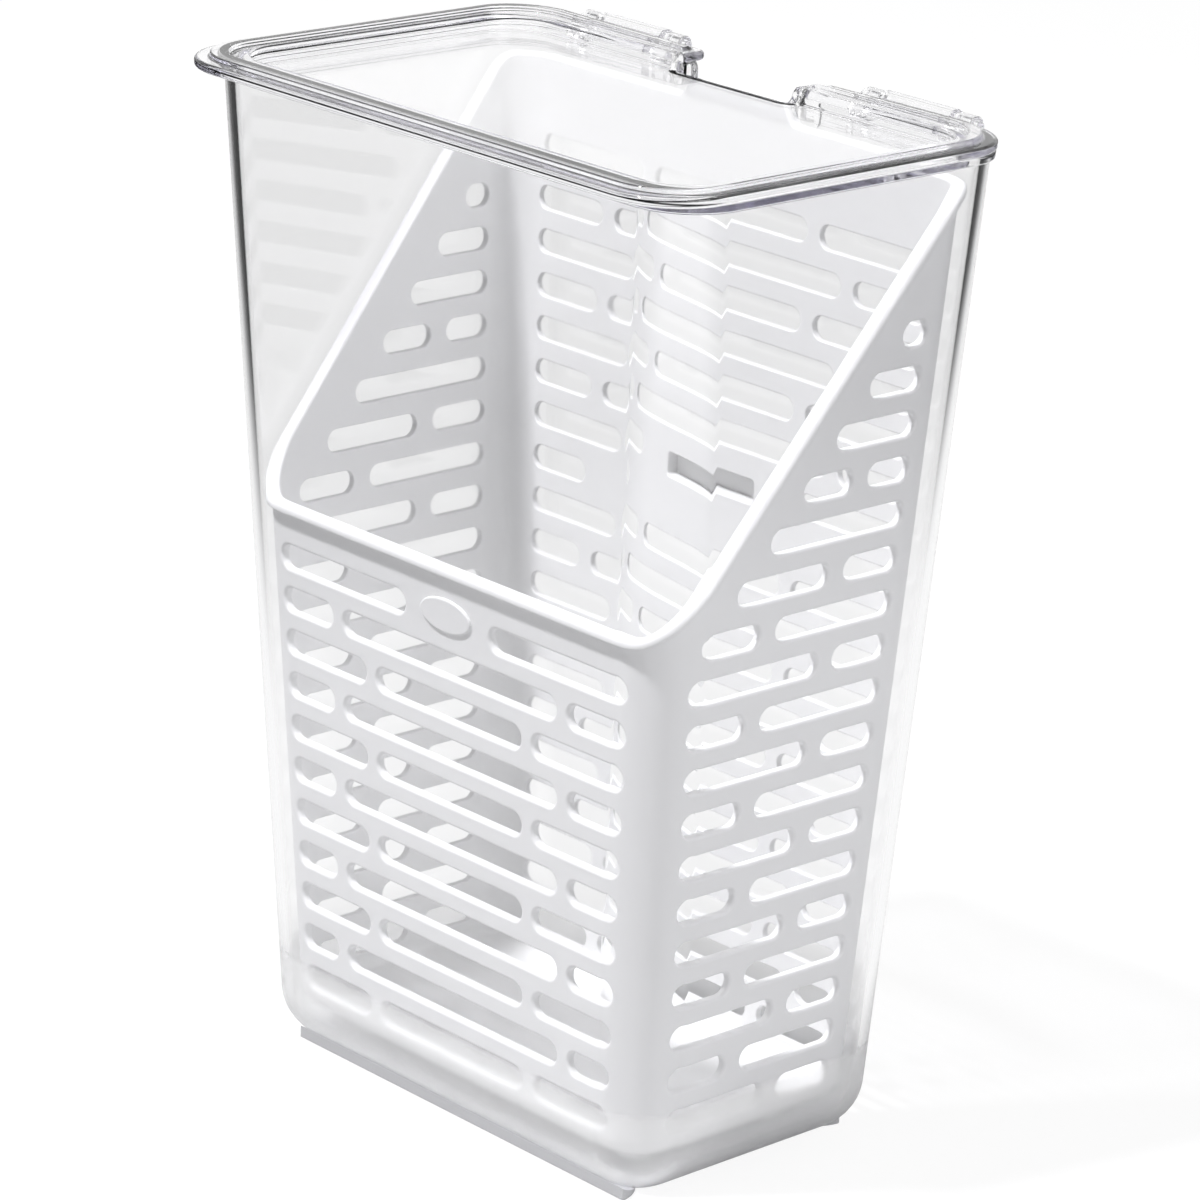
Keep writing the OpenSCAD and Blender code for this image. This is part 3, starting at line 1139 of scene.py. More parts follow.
@dataclass
class Container:
    """The clear outer vessel with its rim bead and rear notch.

    Attributes:
        taper: The outer surface.
        wall: Thickness of the wall.
        base: Height of the underside.
        base_radius: Radius between wall and underside.
        floor: Thickness of the floor.
        arc_steps: Segments of each upright corner.
        rim_z: Height of the rim.
        rim_step: Spacing of the points on the rim.
        bead: How far the rim's bead stands out.
        bead_rear: How far it stands out at the rear.
        bead_turn: Y of the normals between which it changes from one to the other.
        bead_fade: Distances from the notch between which it ends.
        bead_least: How far it stands out at least.
        bead_thick: Height of the bead.
        bead_edges: Radii of its edges.
        rear_from: Y behind which a point is on the rear wall.
        notch_half: Half width of the notch.
        notch_drop: Its depth below the rim.
        notch_lean: How far its sides lean each way.
        notch_round: Radius of its corners.
        notch_steps: Segments of each of its corners.
        notch_gap: Least distance of other points of the rim from it.
        notch_sheet: Q and z of the far corner of the wide outline that it is cut into.
        underside_points: Points on the quarter circles of the underside's section.
    """

    taper: Taper = Taper(1.0, 217.0, (59.7, 72.5), (-31.95, -45.35), (41.15, 46.85), 12.8)
    wall: float = 2.0
    base: float = 1.0
    base_radius: float = 10.9
    floor: float = 2.2
    arc_steps: int = 16
    rim_z: float = 217.0
    rim_step: float = 1.6
    bead: float = 1.4
    bead_rear: float = 0.6
    bead_turn: Pair = (0.2, 0.95)
    bead_fade: Pair = (7.0, 3.0)
    bead_least: float = 0.02
    bead_thick: float = 1.9
    bead_edges: Triple = (0.5, 0.5, 0.5)
    rear_from: float = 40.0
    notch_half: float = 17.0
    notch_drop: float = 9.0
    notch_lean: float = 0.1
    notch_round: float = 2.3
    notch_steps: int = 12
    notch_gap: float = 0.3
    notch_sheet: Pair = (900.0, 500.0)
    underside_points: int = 91

    def notch(self) -> Array:
        """The line of the notch: four corners of a wide outline, each made an arc.

        Returns:
            Points in q and z.
        """
        starts, lengths = self.taper.stretches()
        middle = starts[Wall.REAR.value] + lengths[Wall.REAR.value] / 2
        top, low = self.rim_z, self.rim_z - self.notch_drop
        half, lean = self.notch_half, self.notch_lean
        far, high = self.notch_sheet
        shape = np.array([[(0, top), (middle - half - lean, top), (middle - half + lean, low),
                           (middle + half - lean, low), (middle + half + lean, top),
                           (far, top), (far, high), (0, high)]], float)
        radii = np.array([[0, 1, 1, 1, 1, 0, 0, 0]]) * self.notch_round
        arcs, _ = rounded_loop(shape, radii, self.notch_steps)
        points = self.notch_steps + 1
        return arcs[0, points:5 * points]

    def rim(self) -> Rim:
        """The rim line, level but for the notch in the rear wall, where the bead ends.

        Returns:
            The rim.
        """
        notch = self.notch()
        q = rim_samples(self.taper, self.rim_step)
        q = q[(q < notch[0, 0] - self.notch_gap) | (q > notch[-1, 0] + self.notch_gap)]
        line = np.concatenate([np.stack([q, np.full(len(q), self.rim_z)], -1), notch])
        line = line[np.argsort(line[:, 0], kind="stable")]
        spot, normal = self.taper.place(line[:, 0], line[:, 1])
        rear = smooth_step(normal[:, 1], *self.bead_turn)
        out = self.bead + (self.bead_rear - self.bead) * rear
        begin, end = (-self.notch_half - away for away in self.bead_fade)
        close = smooth_step(-np.abs(spot[:, 0]), begin, end)
        near = np.where(spot[:, 1] > self.rear_from, close, 0.0)
        out = out * (1 - near) + self.bead_least
        return Rim(line[:, 0], line[:, 1], self.bead_thick, out, self.bead_edges)

    def underside(self, y: Array) -> Array:
        """The underside: a level floor between quarter circles that lean with the walls.

        Args:
            y: Places from front to rear.

        Returns:
            Heights there.
        """
        bend = quarter(self.underside_points)
        z = self.base + self.base_radius * (1 - np.sin(bend))
        fall = self.base_radius * (1 - np.cos(bend))
        near = self.taper.at(self.taper.front, z) + fall
        far = self.taper.at(self.taper.rear, z) - fall
        return np.maximum(np.interp(y, near, z), np.interp(-y, -far, z))

    def build(self, finish: Material) -> list[Object]:
        """Builds and dresses the vessel.

        Args:
            finish: Clear plastic.

        Returns:
            The new pieces.
        """
        shell = Shell(self.taper, self.wall, self.base, self.base_radius, self.floor,
                      self.arc_steps, self.rim(), lines_at_ends=True)
        vessel = write_mesh("container_shell", shell.patches())
        return [dress(vessel, finish, "container", "clear_body", "container")]


@dataclass
class Basket:
    """The white slotted basket with its slanted mouth.

    Attributes:
        taper: The outer surface.
        wall: Thickness of the wall and floor.
        base: Height of the underside.
        base_radius: Radius between wall and underside.
        arc_steps: Segments of each upright corner.
        foot_radius: Radius of the feet.
        foot_edge: Radius of their lower edges.
        foot_low: Height of their lower ends.
        foot_sunk: How far they reach into the floor.
        foot_in: Distance of their axes from the walls.
        foot_points: Points on the quarter circle of a lower edge, and round a foot.
        front_z: Height of the front rim.
        rear_z: Height of the rear rim.
        climb_from: Y where the side rims begin to climb.
        climb_to: Y where they end.
        climb_lag: How much later the climb begins, for its blend.
        climb_blends: Half widths of the blends at its foot and head.
        lip: How far the rim's lip stands out.
        lip_thick: Height of the lip.
        lip_edges: Radii of its lower outer, upper outer and inner edge.
        rim_steps: Usual and fine spacing of the points on the rim.
        rim_turns: Turns in which their heights are found.
        rear_from: Y behind which a point of the rim is at the rear.
        tab_rise: Height of the rear tab above the rim.
        tab_half: Half width of the tab at its foot.
        tab_slope: Rise of its flanks per millimetre.
        tab_blends: Half widths of the blends at their foot and head.
        tab_fine: Finely spaced part of the rim, outside the foot of a flank and in all.
        pitch: Distance of the slot rows.
        row_low: Height of the lowest row.
        slot: Height of a slot.
        bridge: Wall between two slots of the front or rear.
        mid_long: Half length of the long middle slots.
        mid_short: Half length of the short ones.
        field_half: Half width of the field without slots in the uppermost front row.
        edge_front: Distance of the front and rear slots from the corners.
        edge_low: Distance of the side slots from the front.
        edge_rear: Distance of the side slots from the rear.
        edge_rim: Distance of the side slots from the slanted rim.
        side_short: Length of the short side slots.
        side_share: Greatest share of a row that a short slot takes.
        side_web: Wall between two side slots.
        side_single: Last odd row and last row with two side slots below the slanted rim.
        rows: Number of rows at the sides, at the front with a middle slot, and at the rear.
        window_rows: Rows of the rear wall without a middle slot.
        round_edge: Radius of the outer edges of the slots.
        window: Half width, height above the ground and height of the pocket in the rear wall.
        window_round: Radius of its corners.
        window_edge: Radius of its edge.
        window_beyond: How far its floor lies outside the wall.
        boss: Half width, height above the ground and height of the raised field behind it.
        boss_round: Radius of its corners.
        boss_rise: Height of the field above the wall.
        oval: Height above the ground, width and height of the oval on the front.
        oval_rise: Height of the oval above the wall.
        field_edge: Radius of the edges of both.
    """

    taper: Taper = Taper(1.0, 217.0, (55.2, 68.0), (-27.55, -40.95), (35.85, 41.55), 10.4)
    wall: float = 2.0
    base: float = 9.2
    base_radius: float = 4.4
    arc_steps: int = 6
    foot_radius: float = 4.0
    foot_edge: float = 0.8
    foot_low: float = 3.2
    foot_sunk: float = 0.5
    foot_in: float = 14.0
    foot_points: tuple[int, int] = (5, 32)
    front_z: float = 125.2
    rear_z: float = 209.8
    climb_from: float = -35.0
    climb_to: float = 34.36
    climb_lag: float = 0.3
    climb_blends: Pair = (0.5, 3.0)
    lip: float = 1.6
    lip_thick: float = 1.9
    lip_edges: Triple = (0.3, 1.45, 0.8)
    rim_steps: Pair = (1.2, 0.4)
    rim_turns: int = 12
    rear_from: float = 38.0
    tab_rise: float = 5.4
    tab_half: float = 17.2
    tab_slope: float = 1.75
    tab_blends: Pair = (0.8, 1.8)
    tab_fine: Pair = (2.0, 10.0)
    pitch: float = 9.6
    row_low: float = 17.2
    slot: float = 5.2
    bridge: float = 3.6
    mid_long: float = 33.0
    mid_short: float = 22.4
    field_half: float = 13.2
    edge_front: float = 8.9
    edge_low: float = 8.6
    edge_rear: float = 10.4
    edge_rim: float = 13.4
    side_short: float = 15.0
    side_share: float = 0.39
    side_web: float = 4.6
    side_single: tuple[int, int] = (12, 15)
    rows: tuple[int, int, int] = (18, 10, 19)
    window_rows: tuple[int, int] = (11, 12)
    round_edge: float = 0.85
    window: Triple = (12.8, 131.2, 5.2)
    window_round: float = 1.0
    window_edge: float = 0.45
    window_beyond: float = 2.0
    boss: Triple = (14.0, 131.2, 7.6)
    boss_round: float = 2.0
    boss_rise: float = 2.8
    oval: Triple = (114.4, 15.6, 7.4)
    oval_rise: float = 0.6
    field_edge: float = 0.5

    def row(self, n: int) -> float:
        """Height of slot row n, counted from the lowest."""
        return self.row_low + n * self.pitch

    def slope(self) -> float:
        """Rise of the side rims per millimetre of depth."""
        return (self.rear_z - self.front_z) / (self.climb_to - self.climb_from)

    def rim(self) -> Rim:
        """The rim line: level at the front, climbing at the sides, level behind with a raised tab.

        The walls lean, so a point's place and height depend on each other and are found in turns.

        Returns:
            The rim.
        """
        starts, lengths = self.taper.stretches()
        middle = starts[Wall.REAR.value] + lengths[Wall.REAR.value] / 2
        beyond, fine = self.tab_fine
        reach = self.tab_half + beyond
        flanks = ((middle - reach, middle - reach + fine), (middle + reach - fine, middle + reach))
        q = rim_samples(self.taper, self.rim_steps[0], flanks, self.rim_steps[1])
        foot, head = self.climb_blends
        low, high = self.tab_blends
        z = np.full(len(q), self.front_z)
        for _ in range(self.rim_turns):
            x, y = np.moveaxis(self.taper.place(q, z)[0], -1, 0)[:2]
            climb = soft_ramp(y - self.climb_from - self.climb_lag, foot)
            climb = climb - soft_ramp(y - self.climb_to, head)
            into = self.tab_half - low - np.abs(x)
            top = soft_ramp(into - self.tab_rise / self.tab_slope, high)
            tab = self.tab_slope * (soft_ramp(into, low) - top)
            z = self.front_z + self.slope() * climb + np.where(y > self.rear_from, tab, 0.0)
        return Rim(q, z, self.lip_thick, np.full(len(q), self.lip), self.lip_edges)

    def pill(self, wall: Wall, low: float, high: float, z: float) -> Loop:
        """A slot with round ends."""
        return pill_loop(wall, low, high, z, self.slot, self.slot / 2, self.round_edge)

    def wall_row(self, wall: Wall, n: int, middle: bool) -> list[Loop]:
        """A row of the front or rear wall: a middle slot and one at each side.

        Args:
            wall: The wall.
            n: Number of the row.
            middle: False to leave out the middle slot.

        Returns:
            The slots.
        """
        reach = self.mid_long if n % 2 else self.mid_short
        row = self.outer_pair(wall, n, reach + self.bridge)
        return row + ([self.pill(wall, -reach, reach, self.row(n))] if middle else [])

    def outer_pair(self, wall: Wall, n: int, begin: float) -> list[Loop]:
        """The slots at both sides of a row, which end near the corners.

        Args:
            wall: The wall.
            n: Number of the row.
            begin: Distance from the middle at which they begin.

        Returns:
            The two slots.
        """
        z = self.row(n)
        edge = self.taper.at(self.taper.half, z) - self.edge_front
        return [self.pill(wall, begin, edge, z), self.pill(wall, -edge, -begin, z)]

    def side_row(self, wall: Wall, n: int) -> list[Loop]:
        """A row of a side wall: two slots, or one where the slanted rim leaves no room.

        Args:
            wall: The wall.
            n: Number of the row.

        Returns:
            The slots.
        """
        z = self.row(n)
        low = self.taper.at(self.taper.front, z) + self.edge_low
        rim = self.climb_from + (z - self.front_z) / self.slope() + self.edge_rim
        y0, y1 = max(low, rim), self.taper.at(self.taper.rear, z) - self.edge_rear
        split = min(self.side_short, self.side_share * (y1 - y0))
        odd_last, last = self.side_single
        if n > last or (n % 2 and n > odd_last and rim > low):
            ends = [(y0, y1)]
        elif n % 2:
            ends = [(y0, y0 + split), (y0 + split + self.side_web, y1)]
        else:
            ends = [(y0, y1 - split - self.side_web), (y1 - split, y1)]
        return [self.pill(wall, a, b, z) for a, b in ends]

    def loops(self) -> list[Loop]:
        """Rows of slots in the four walls.

        Returns:
            Every slot of the basket.
        """
        made = []
        side, front, rear = self.rows
        for n in range(side):
            made += self.side_row(Wall.RIGHT, n) + self.side_row(Wall.LEFT, n)
        for n in range(front):
            made += self.wall_row(Wall.FRONT, n, True)
        made += self.outer_pair(Wall.FRONT, front, self.field_half)
        for n in range(rear):
            made += self.wall_row(Wall.REAR, n, n not in self.window_rows)
        return made

    def feet(self) -> list[Patch]:
        """Four short round feet with rounded lower ends, turned about upright axes.

        Returns:
            Their surfaces.
        """
        half = self.taper.at(self.taper.half, self.base) - self.foot_in
        front = self.taper.at(self.taper.front, self.base) + self.foot_in
        rear = self.taper.at(self.taper.rear, self.base) - self.foot_in
        edge_points, round_points = self.foot_points
        bend = quarter(edge_points)
        shrink = self.foot_radius - self.foot_edge * (1 - np.cos(bend))
        fall = self.foot_low + self.foot_edge * (1 - np.sin(bend))
        radius = np.concatenate([[self.foot_radius], shrink])
        z = np.concatenate([[self.base + self.foot_sunk], fall])
        points, normals = lathe(radius, z, np.concatenate([[0.0], bend]), round_points)
        made = []
        for x, y in ((-half, front), (half, front), (half, rear), (-half, rear)):
            made += capped(points + np.array([x, y, 0.0]), normals, (0, 0, -1), True)
        return made

    def build(self, finish: Material) -> list[Object]:
        """Builds and dresses the basket.

        Args:
            finish: White plastic.

        Returns:
            The new pieces.
        """
        half, z, tall = self.window
        window = pill_loop(Wall.REAR, -half, half, z, tall, self.window_round, self.window_edge,
                           Side.INNER)
        half, z, tall = self.boss
        boss = pill_loop(Wall.REAR, -half, half, z, tall, self.boss_round, 0.0, Side.OUTER)
        oval = oval_loop(Wall.FRONT, 0.0, *self.oval, Side.OUTER)
        shell = Shell(self.taper, self.wall, self.base, self.base_radius, self.wall, self.arc_steps,
                      self.rim(), self.loops() + [window, boss, oval], self.round_edge)
        patches = shell.patches() + shell.sunk(window, self.window_beyond, self.window_edge)
        patches += shell.raised(boss, self.boss_rise, self.field_edge)
        patches += shell.raised(oval, self.oval_rise, self.field_edge) + self.feet()
        basket = write_mesh("basket_shell", patches)
        return [dress(basket, finish, "basket", "white_basket", "basket")]


@dataclass
class Lid:
    """The clear lid: flange with a finger lip, ridge, sunk panel and rear notch.

    Attributes:
        rim_z: Height of the flange's underside.
        flange: Thickness of the flange.
        half: Half width.
        front: Y of the front edge.
        rear: Y of the rear edge.
        notch_half: Half width of the notch.
        notch_front: Y of the bottom of the notch.
        corner: Plan radius of the corners.
        corner_loss: How much that radius shrinks per millimetre of inset.
        corner_least: Its least value.
        corner_steps: Segments of each corner in plan.
        tooth: Radius at the mouth of the notch, its loss per millimetre, and its least value.
        hollow: Radius at the bottom of the notch, and its gain per millimetre.
        ridge_in: Insets of the ridge's outer side at the sides, front, rear and notch.
        ridge_in2: Insets of its inner side.
        pocket: Insets of the sunk panel.
        plug: Insets of the plug below the flange.
        ridge_h: Height of the ridge.
        panel_z: Height of the panel's upper side.
        plug_z: Height of its underside.
        rounds: Radii at the panel, pocket, ridge, flange, root of the plug and edge of the plug.
        round_points: Points on the quarter circle of each.
        back_from: Y behind which a point is at the rear.
        ridge_fade: Distances from the middle between which the ridge ends at the notch.
        bar_half: Distance from the middle within which the panel ends without a bar.
        bar_fade: Y between which the bar ends.
        close: Height within which a point is level with the flange.
        whole: Share above which neither ridge nor bar is fading.
    """

    rim_z: float = 217.0
    flange: float = 2.1
    half: float = 75.0
    front: float = -52.35
    rear: float = 47.2
    notch_half: float = 17.0
    notch_front: float = 38.4
    corner: float = 15.0
    corner_loss: float = 0.55
    corner_least: float = 4.0
    corner_steps: int = 12
    tooth: Triple = (2.0, 0.5, 0.8)
    hollow: Pair = (3.2, 0.6)
    ridge_in: Quad = (2.8, 2.6, 2.6, 1.2)
    ridge_in2: Quad = (5.2, 6.6, 5.0, 2.2)
    pocket: Quad = (6.8, 11.3, 7.8, 1.9)
    plug: Quad = (5.0, 9.5, 6.0, 0.3)
    ridge_h: float = 1.1
    panel_z: float = 215.7
    plug_z: float = 213.9
    rounds: tuple[float, ...] = (1.0, 0.5, 0.45, 0.75, 0.4, 0.8)
    round_points: int = 5
    back_from: float = 20.0
    ridge_fade: Pair = (18.6, 20.6)
    bar_half: float = 21.5
    bar_fade: Pair = (38.7, 39.9)
    close: float = 0.01
    whole: float = 0.999

    def outline(self, inset: Array) -> tuple[Array, Array]:
        """Outlines with a bite at the rear.

        Args:
            inset: Insets at the sides, front, rear and notch, shape (rings, 4).

        Returns:
            Points and outward normals of shape (rings, n, 2).
        """
        x = self.half - inset[:, 0]
        y0 = self.front + inset[:, 1]
        y1 = self.rear - inset[:, 2]
        nx = self.notch_half + inset[:, 3]
        ny = self.notch_front - inset[:, 3]
        places = ((-x, y0), (x, y0), (x, y1), (nx, y1), (nx, ny), (-nx, ny), (-nx, y1), (-x, y1))
        corners = np.stack([np.stack(place, -1) for place in places], 1)
        big = np.maximum(self.corner - inset[:, 0] * self.corner_loss, self.corner_least)
        first, loss, least = self.tooth
        small = np.maximum(first - inset[:, 3] * loss, least)
        hollow = self.hollow[0] + inset[:, 3] * self.hollow[1]
        radii = np.stack([big, big, big, small, hollow, hollow, small, big], 1)
        return rounded_loop(corners, radii, self.corner_steps)

    def rings(self) -> tuple[Array, Array, Array, Array]:
        """Profile from the middle of the panel, out over the ridge and flange, and back below.

        Returns:
            Insets of shape (rings, 4), heights, the angle of the normal from outward to up, and
            heights in the notch, where the panel ends without a bar.
        """
        bend = quarter(self.round_points)
        sin, cos = np.sin(bend), np.cos(bend)
        top = self.rim_z + self.flange
        ridge = top + self.ridge_h
        panel_r, pocket_r, ridge_r, flange_r, root_r, plug_r = self.rounds
        edge = (0.0, 0.0, 0.0, 0.0)
        rows: list[tuple[Array, Array, Array, Array]] = []

        def add(base: Quad, more: Array, z: Array, tip: Array, low: Array | None = None) -> None:
            """Adds rings.

            Args:
                base: Insets of an outline at the sides, front, rear and notch.
                more: Further insets of the rings.
                z: Their heights.
                tip: Angles of their normals.
                low: Heights in the notch, or None to follow z.
            """
            if low is None:
                low = self.plug_z + (z - self.rim_z) / self.flange * (self.panel_z - self.plug_z)
                low = np.clip(low, self.plug_z, self.panel_z)
            rows.append((np.array(base)[None, :] + more[:, None], z, tip, low))

        level = np.full(len(bend), self.panel_z)
        r = panel_r
        add(self.pocket, r - r * sin, self.panel_z + r - r * cos, HALF_PI + bend, level)
        r = pocket_r
        add(self.pocket, -r + r * cos, top - r + r * sin, math.pi - bend, level)
        r = ridge_r
        add(self.ridge_in2, r - r * sin, top + r - r * cos, HALF_PI + bend)
        add(self.ridge_in2, -r + r * cos, ridge - r + r * sin, math.pi - bend)
        add(self.ridge_in, r - r * sin, ridge - r + r * cos, HALF_PI - bend)
        add(self.ridge_in, -r + r * cos, top + r - r * sin, bend)
        r = flange_r
        add(edge, r - r * sin, top - r + r * cos, HALF_PI - bend)
        add(edge, r - r * cos, self.rim_z + r - r * sin, -bend)
        r = root_r
        add(self.plug, -r + r * sin, self.rim_z - r + r * cos, -HALF_PI + bend)
        r = plug_r
        add(self.plug, r - r * cos, self.plug_z + r - r * sin, -bend)
        insets, heights, angles, lows = (np.concatenate(column) for column in zip(*rows))
        return insets, heights, angles, lows

    def build(self, finish: Material) -> list[Object]:
        """Builds and dresses the lid.

        Args:
            finish: Clear plastic.

        Returns:
            The new pieces.
        """
        insets, heights, angles, lows = self.rings()
        flat, side = self.outline(insets)
        z = np.broadcast_to(heights[:, None], flat.shape[:2])
        top = self.rim_z + self.flange
        across, y = np.abs(flat[..., 0]), flat[..., 1]
        back = y > self.back_from
        fade = np.where(back, smooth_step(across, *self.ridge_fade), 1.0)
        z = np.where(z > top + self.close, top + (z - top) * fade, z)
        bar = np.where(back & (across < self.bar_half), smooth_step(y, *self.bar_fade), 1.0)
        z = z * bar + lows[:, None] * (1 - bar)
        points = np.concatenate([flat, z[..., None]], -1)
        tip = angles[:, None, None]
        up = np.broadcast_to(np.sin(tip), side[..., :1].shape)
        normals = np.concatenate([side * np.cos(tip), up], -1)
        step_in = np.gradient(points, axis=0)
        step_on = (np.roll(points, -1, axis=1) - np.roll(points, 1, axis=1)) / 2
        found = np.cross(step_in, step_on)
        size = np.linalg.norm(found, axis=-1, keepdims=True)
        raised = heights[:, None] > top - self.close
        bent = (bar < self.whole) | ((fade < self.whole) & raised)
        bent = bent[..., None] & (size > TINY)
        normals = np.where(bent, found / np.maximum(size, TINY), normals)
        plate = write_mesh("lid_plate", capped(points, normals, (0, 0, -1), True))
        return [dress(plate, finish, "lid", "clear_lid", "lid")]


@dataclass
class Hinge:
    """The two rear hinges: ears on the container, knuckles on the lid, and a pin through each.

    Attributes:
        axis: Y and Z of the pins.
        bore: Radius of the holes.
        pin: Radius of the pins.
        pin_end: Radius of their end edges.
        pin_points: Points on the quarter circle of an end edge, and round a pin.
        bar_end: Radius of the end edges of ears and knuckles.
        pin_span: Distances of a pin's ends from the middle.
        knuckle_span: Distances of a knuckle's ends from the middle.
        ear_spans: The same for the ears of one side.
        knuckle: Corners of the knuckles' profile in y and z, with their radii.
        ear: The same for the ears.
    """

    axis: Pair = (50.15, 218.0)
    bore: float = 1.15
    pin: float = 1.1
    pin_end: float = 0.4
    pin_points: tuple[int, int] = (5, 40)
    bar_end: float = 0.3
    pin_span: Pair = (25.9, 59.1)
    knuckle_span: Pair = (32.5, 52.5)
    ear_spans: tuple[Pair, ...] = ((27.1, 32.1), (52.9, 57.9))
    knuckle: tuple[Triple, ...] = (
        (46.6, 217.2, 0.2), (48.4, 217.2, 0.4), (49.0, 215.8, 0.7), (52.35, 215.8, 2.1),
        (52.35, 220.2, 2.1), (48.8, 220.2, 1.0), (47.6, 219.0, 0.5), (46.6, 219.0, 0.2))
    ear: tuple[Triple, ...] = (
        (46.3, 211.5, 0.2), (47.0, 211.5, 0.3), (52.2, 216.4, 1.2), (52.2, 219.8, 1.7),
        (48.1, 219.8, 1.7), (48.1, 217.2, 0.3), (46.3, 216.4, 0.2))

    def bars(self, profile: tuple[Triple, ...], *spans: Pair) -> list[Patch]:
        """Bars of one profile on both sides.

        Args:
            profile: Corners in y and z with their radii.
            *spans: Distances of the bars' ends from the middle.

        Returns:
            The bars.
        """
        corners, radii = [c[:2] for c in profile], [c[2] for c in profile]
        both = [s for a, b in spans for s in ((a, b), (-b, -a))]
        return [eye_bar(corners, radii, self.axis, self.bore, s, self.bar_end) for s in both]

    def pin_patches(self, side: int) -> list[Patch]:
        """A round pin with rounded ends, turned about its axis.

        Args:
            side: Sign of X on the pin's side.

        Returns:
            The pin's surface and its two ends.
        """
        edge_points, round_points = self.pin_points
        bend, end = quarter(edge_points), self.pin_end
        low, high = self.pin_span
        tilt = np.concatenate([-bend[::-1], bend])
        ends = np.repeat([high - end, low + end], len(bend))
        radius = self.pin - end * (1 - np.cos(tilt))
        points, normals = lathe(radius, ends - end * np.sin(tilt), tilt, round_points)

        def lay(v: Array) -> Array:
            """Turns the upright axis to x, towards the pin's side."""
            return np.stack([v[..., 2] * side, v[..., 1] * side, v[..., 0]], -1)

        return capped(lay(points) + np.array([0.0, *self.axis]), lay(normals), (-side, 0, 0))

    def build(self, body: Material, lid: Material, pin: Material) -> list[Object]:
        """Builds and dresses ears, knuckles and pins.

        Args:
            body: Finish of the container.
            lid: Finish of the lid.
            pin: Finish of the pins.

        Returns:
            The new pieces.
        """
        ears = write_mesh("container_ears", self.bars(self.ear, *self.ear_spans))
        knuckles = write_mesh("lid_knuckles", self.bars(self.knuckle, self.knuckle_span))
        made = [dress(ears, body, "container", "clear_body"),
                dress(knuckles, lid, "lid", "clear_lid")]
        for name, side in (("left", -1), ("right", 1)):
            obj = write_mesh("pin_" + name, self.pin_patches(side))
            made.append(dress(obj, pin, "container", "hinge_pin", "hinge_pin_" + name))
        return made


@dataclass
class FootStrips:
    """The grey strips under the front and rear lower edges, with inner corners rounded off.

    Attributes:
        container: The vessel that they lie under.
        half: Half length.
        width: Their width.
        front: Y of the front strip's outer side.
        rear: Y of the rear strip's outer side.
        end_run: Length over which the width falls off at an end.
        end_share: Share of the width that is left there.
        edge: Radius of the lower edges.
        edge_fit: Least width of a section, as a multiple of that radius.
        edge_points: Points on the quarter circle of a lower edge.
        columns: Sections along a strip.
        top_points: Points across its top.
    """

    container: Container
    half: float = 51.8
    width: float = 8.0
    front: float = -27.15
    rear: float = 36.35
    end_run: float = 7.0
    end_share: float = 0.12
    edge: float = 0.45
    edge_fit: int = 3
    edge_points: int = 4
    columns: int = 61
    top_points: int = 9

    def strip(self, outer: float, way: int) -> list[Patch]:
        """One strip: a profile round the strip, from the top of its outer side, carried along x.

        The width falls off along a quarter ellipse at both ends, and the top follows the vessel's
        underside.

        Args:
            outer: Y of the outer side.
            way: Sign of Y from the outer to the inner side.

        Returns:
            The strip's surface and its two ends.
        """
        x = self.half * np.sin(np.linspace(-HALF_PI, HALF_PI, self.columns))
        past = np.clip((np.abs(x) - self.half + self.end_run) / self.end_run, 0, 1)
        wide = (self.width * np.maximum(np.sqrt(1 - past ** 2), self.end_share))[:, None]
        edge = np.minimum(self.edge, wide / self.edge_fit)
        bend, tops = quarter(self.edge_points), self.top_points
        sin, cos, ones = np.sin(bend), np.cos(bend), np.ones((len(x), 1))
        across = np.concatenate([0 * ones, edge * (1 - cos), wide - edge * (1 - cos[::-1]), wide,
                                 wide * np.linspace(1, 0, tops)], 1)
        under = self.container.underside(outer + way * across)
        inner = across.shape[1] - tops - 1
        z = np.concatenate([under[:, :1], edge * (1 - sin), edge * (1 - sin[::-1]),
                            under[:, inner:]], 1)
        side = np.concatenate([[-1.0], -cos, cos[::-1], [1.0], np.zeros(tops)]) * ones
        up = np.concatenate([[0.0], -sin, -sin[::-1], [0.0], np.ones(tops)]) * ones
        lean = -np.gradient(wide[:, 0], x)[:, None] * np.maximum(side, 0)
        points = np.stack([np.broadcast_to(x[:, None], z.shape), outer + way * across, z], -1)
        normals = unit(np.stack([lean, way * side, up], -1))
        once = np.delete(np.arange(z.shape[1]), [inner + 1, inner + tops])
        return capped(points, normals, (1, 0, 0), way < 0, once)

    def build(self, finish: Material) -> list[Object]:
        """Builds and dresses both strips.

        Args:
            finish: Grey rubber.

        Returns:
            The new pieces.
        """
        made = []
        for name, outer, way in (("front", self.front, 1), ("rear", self.rear, -1)):
            obj = write_mesh(name + "_foot_strip", self.strip(outer, way))
            made.append(dress(obj, finish, "container", "grey_foot", name + "_foot"))
        return made


# Studio


@dataclass(frozen=True)
class Lamp:
    """A square soft lamp.

    Attributes:
        name: Its name.
        place: Where it hangs, in metres.
        size: Side of the square in metres.
        power: Watts.
    """

    name: str
    place: Triple
    size: float
    power: float

    def build(self, target: Triple) -> None:
        """Hangs the lamp.

        Args:
            target: Point at which it is aimed.
        """
        data = bpy.data.lights.new(self.name, "AREA")
        data.size = self.size
        data.energy = self.power
        obj = bpy.data.objects.new(self.name, data)
        spot = Vector(self.place)
        aim = (Vector(target) - spot).to_track_quat("-Z", "Y")
        obj.matrix_world = Matrix.LocRotScale(spot, aim, None)
        bpy.context.scene.collection.objects.link(obj)


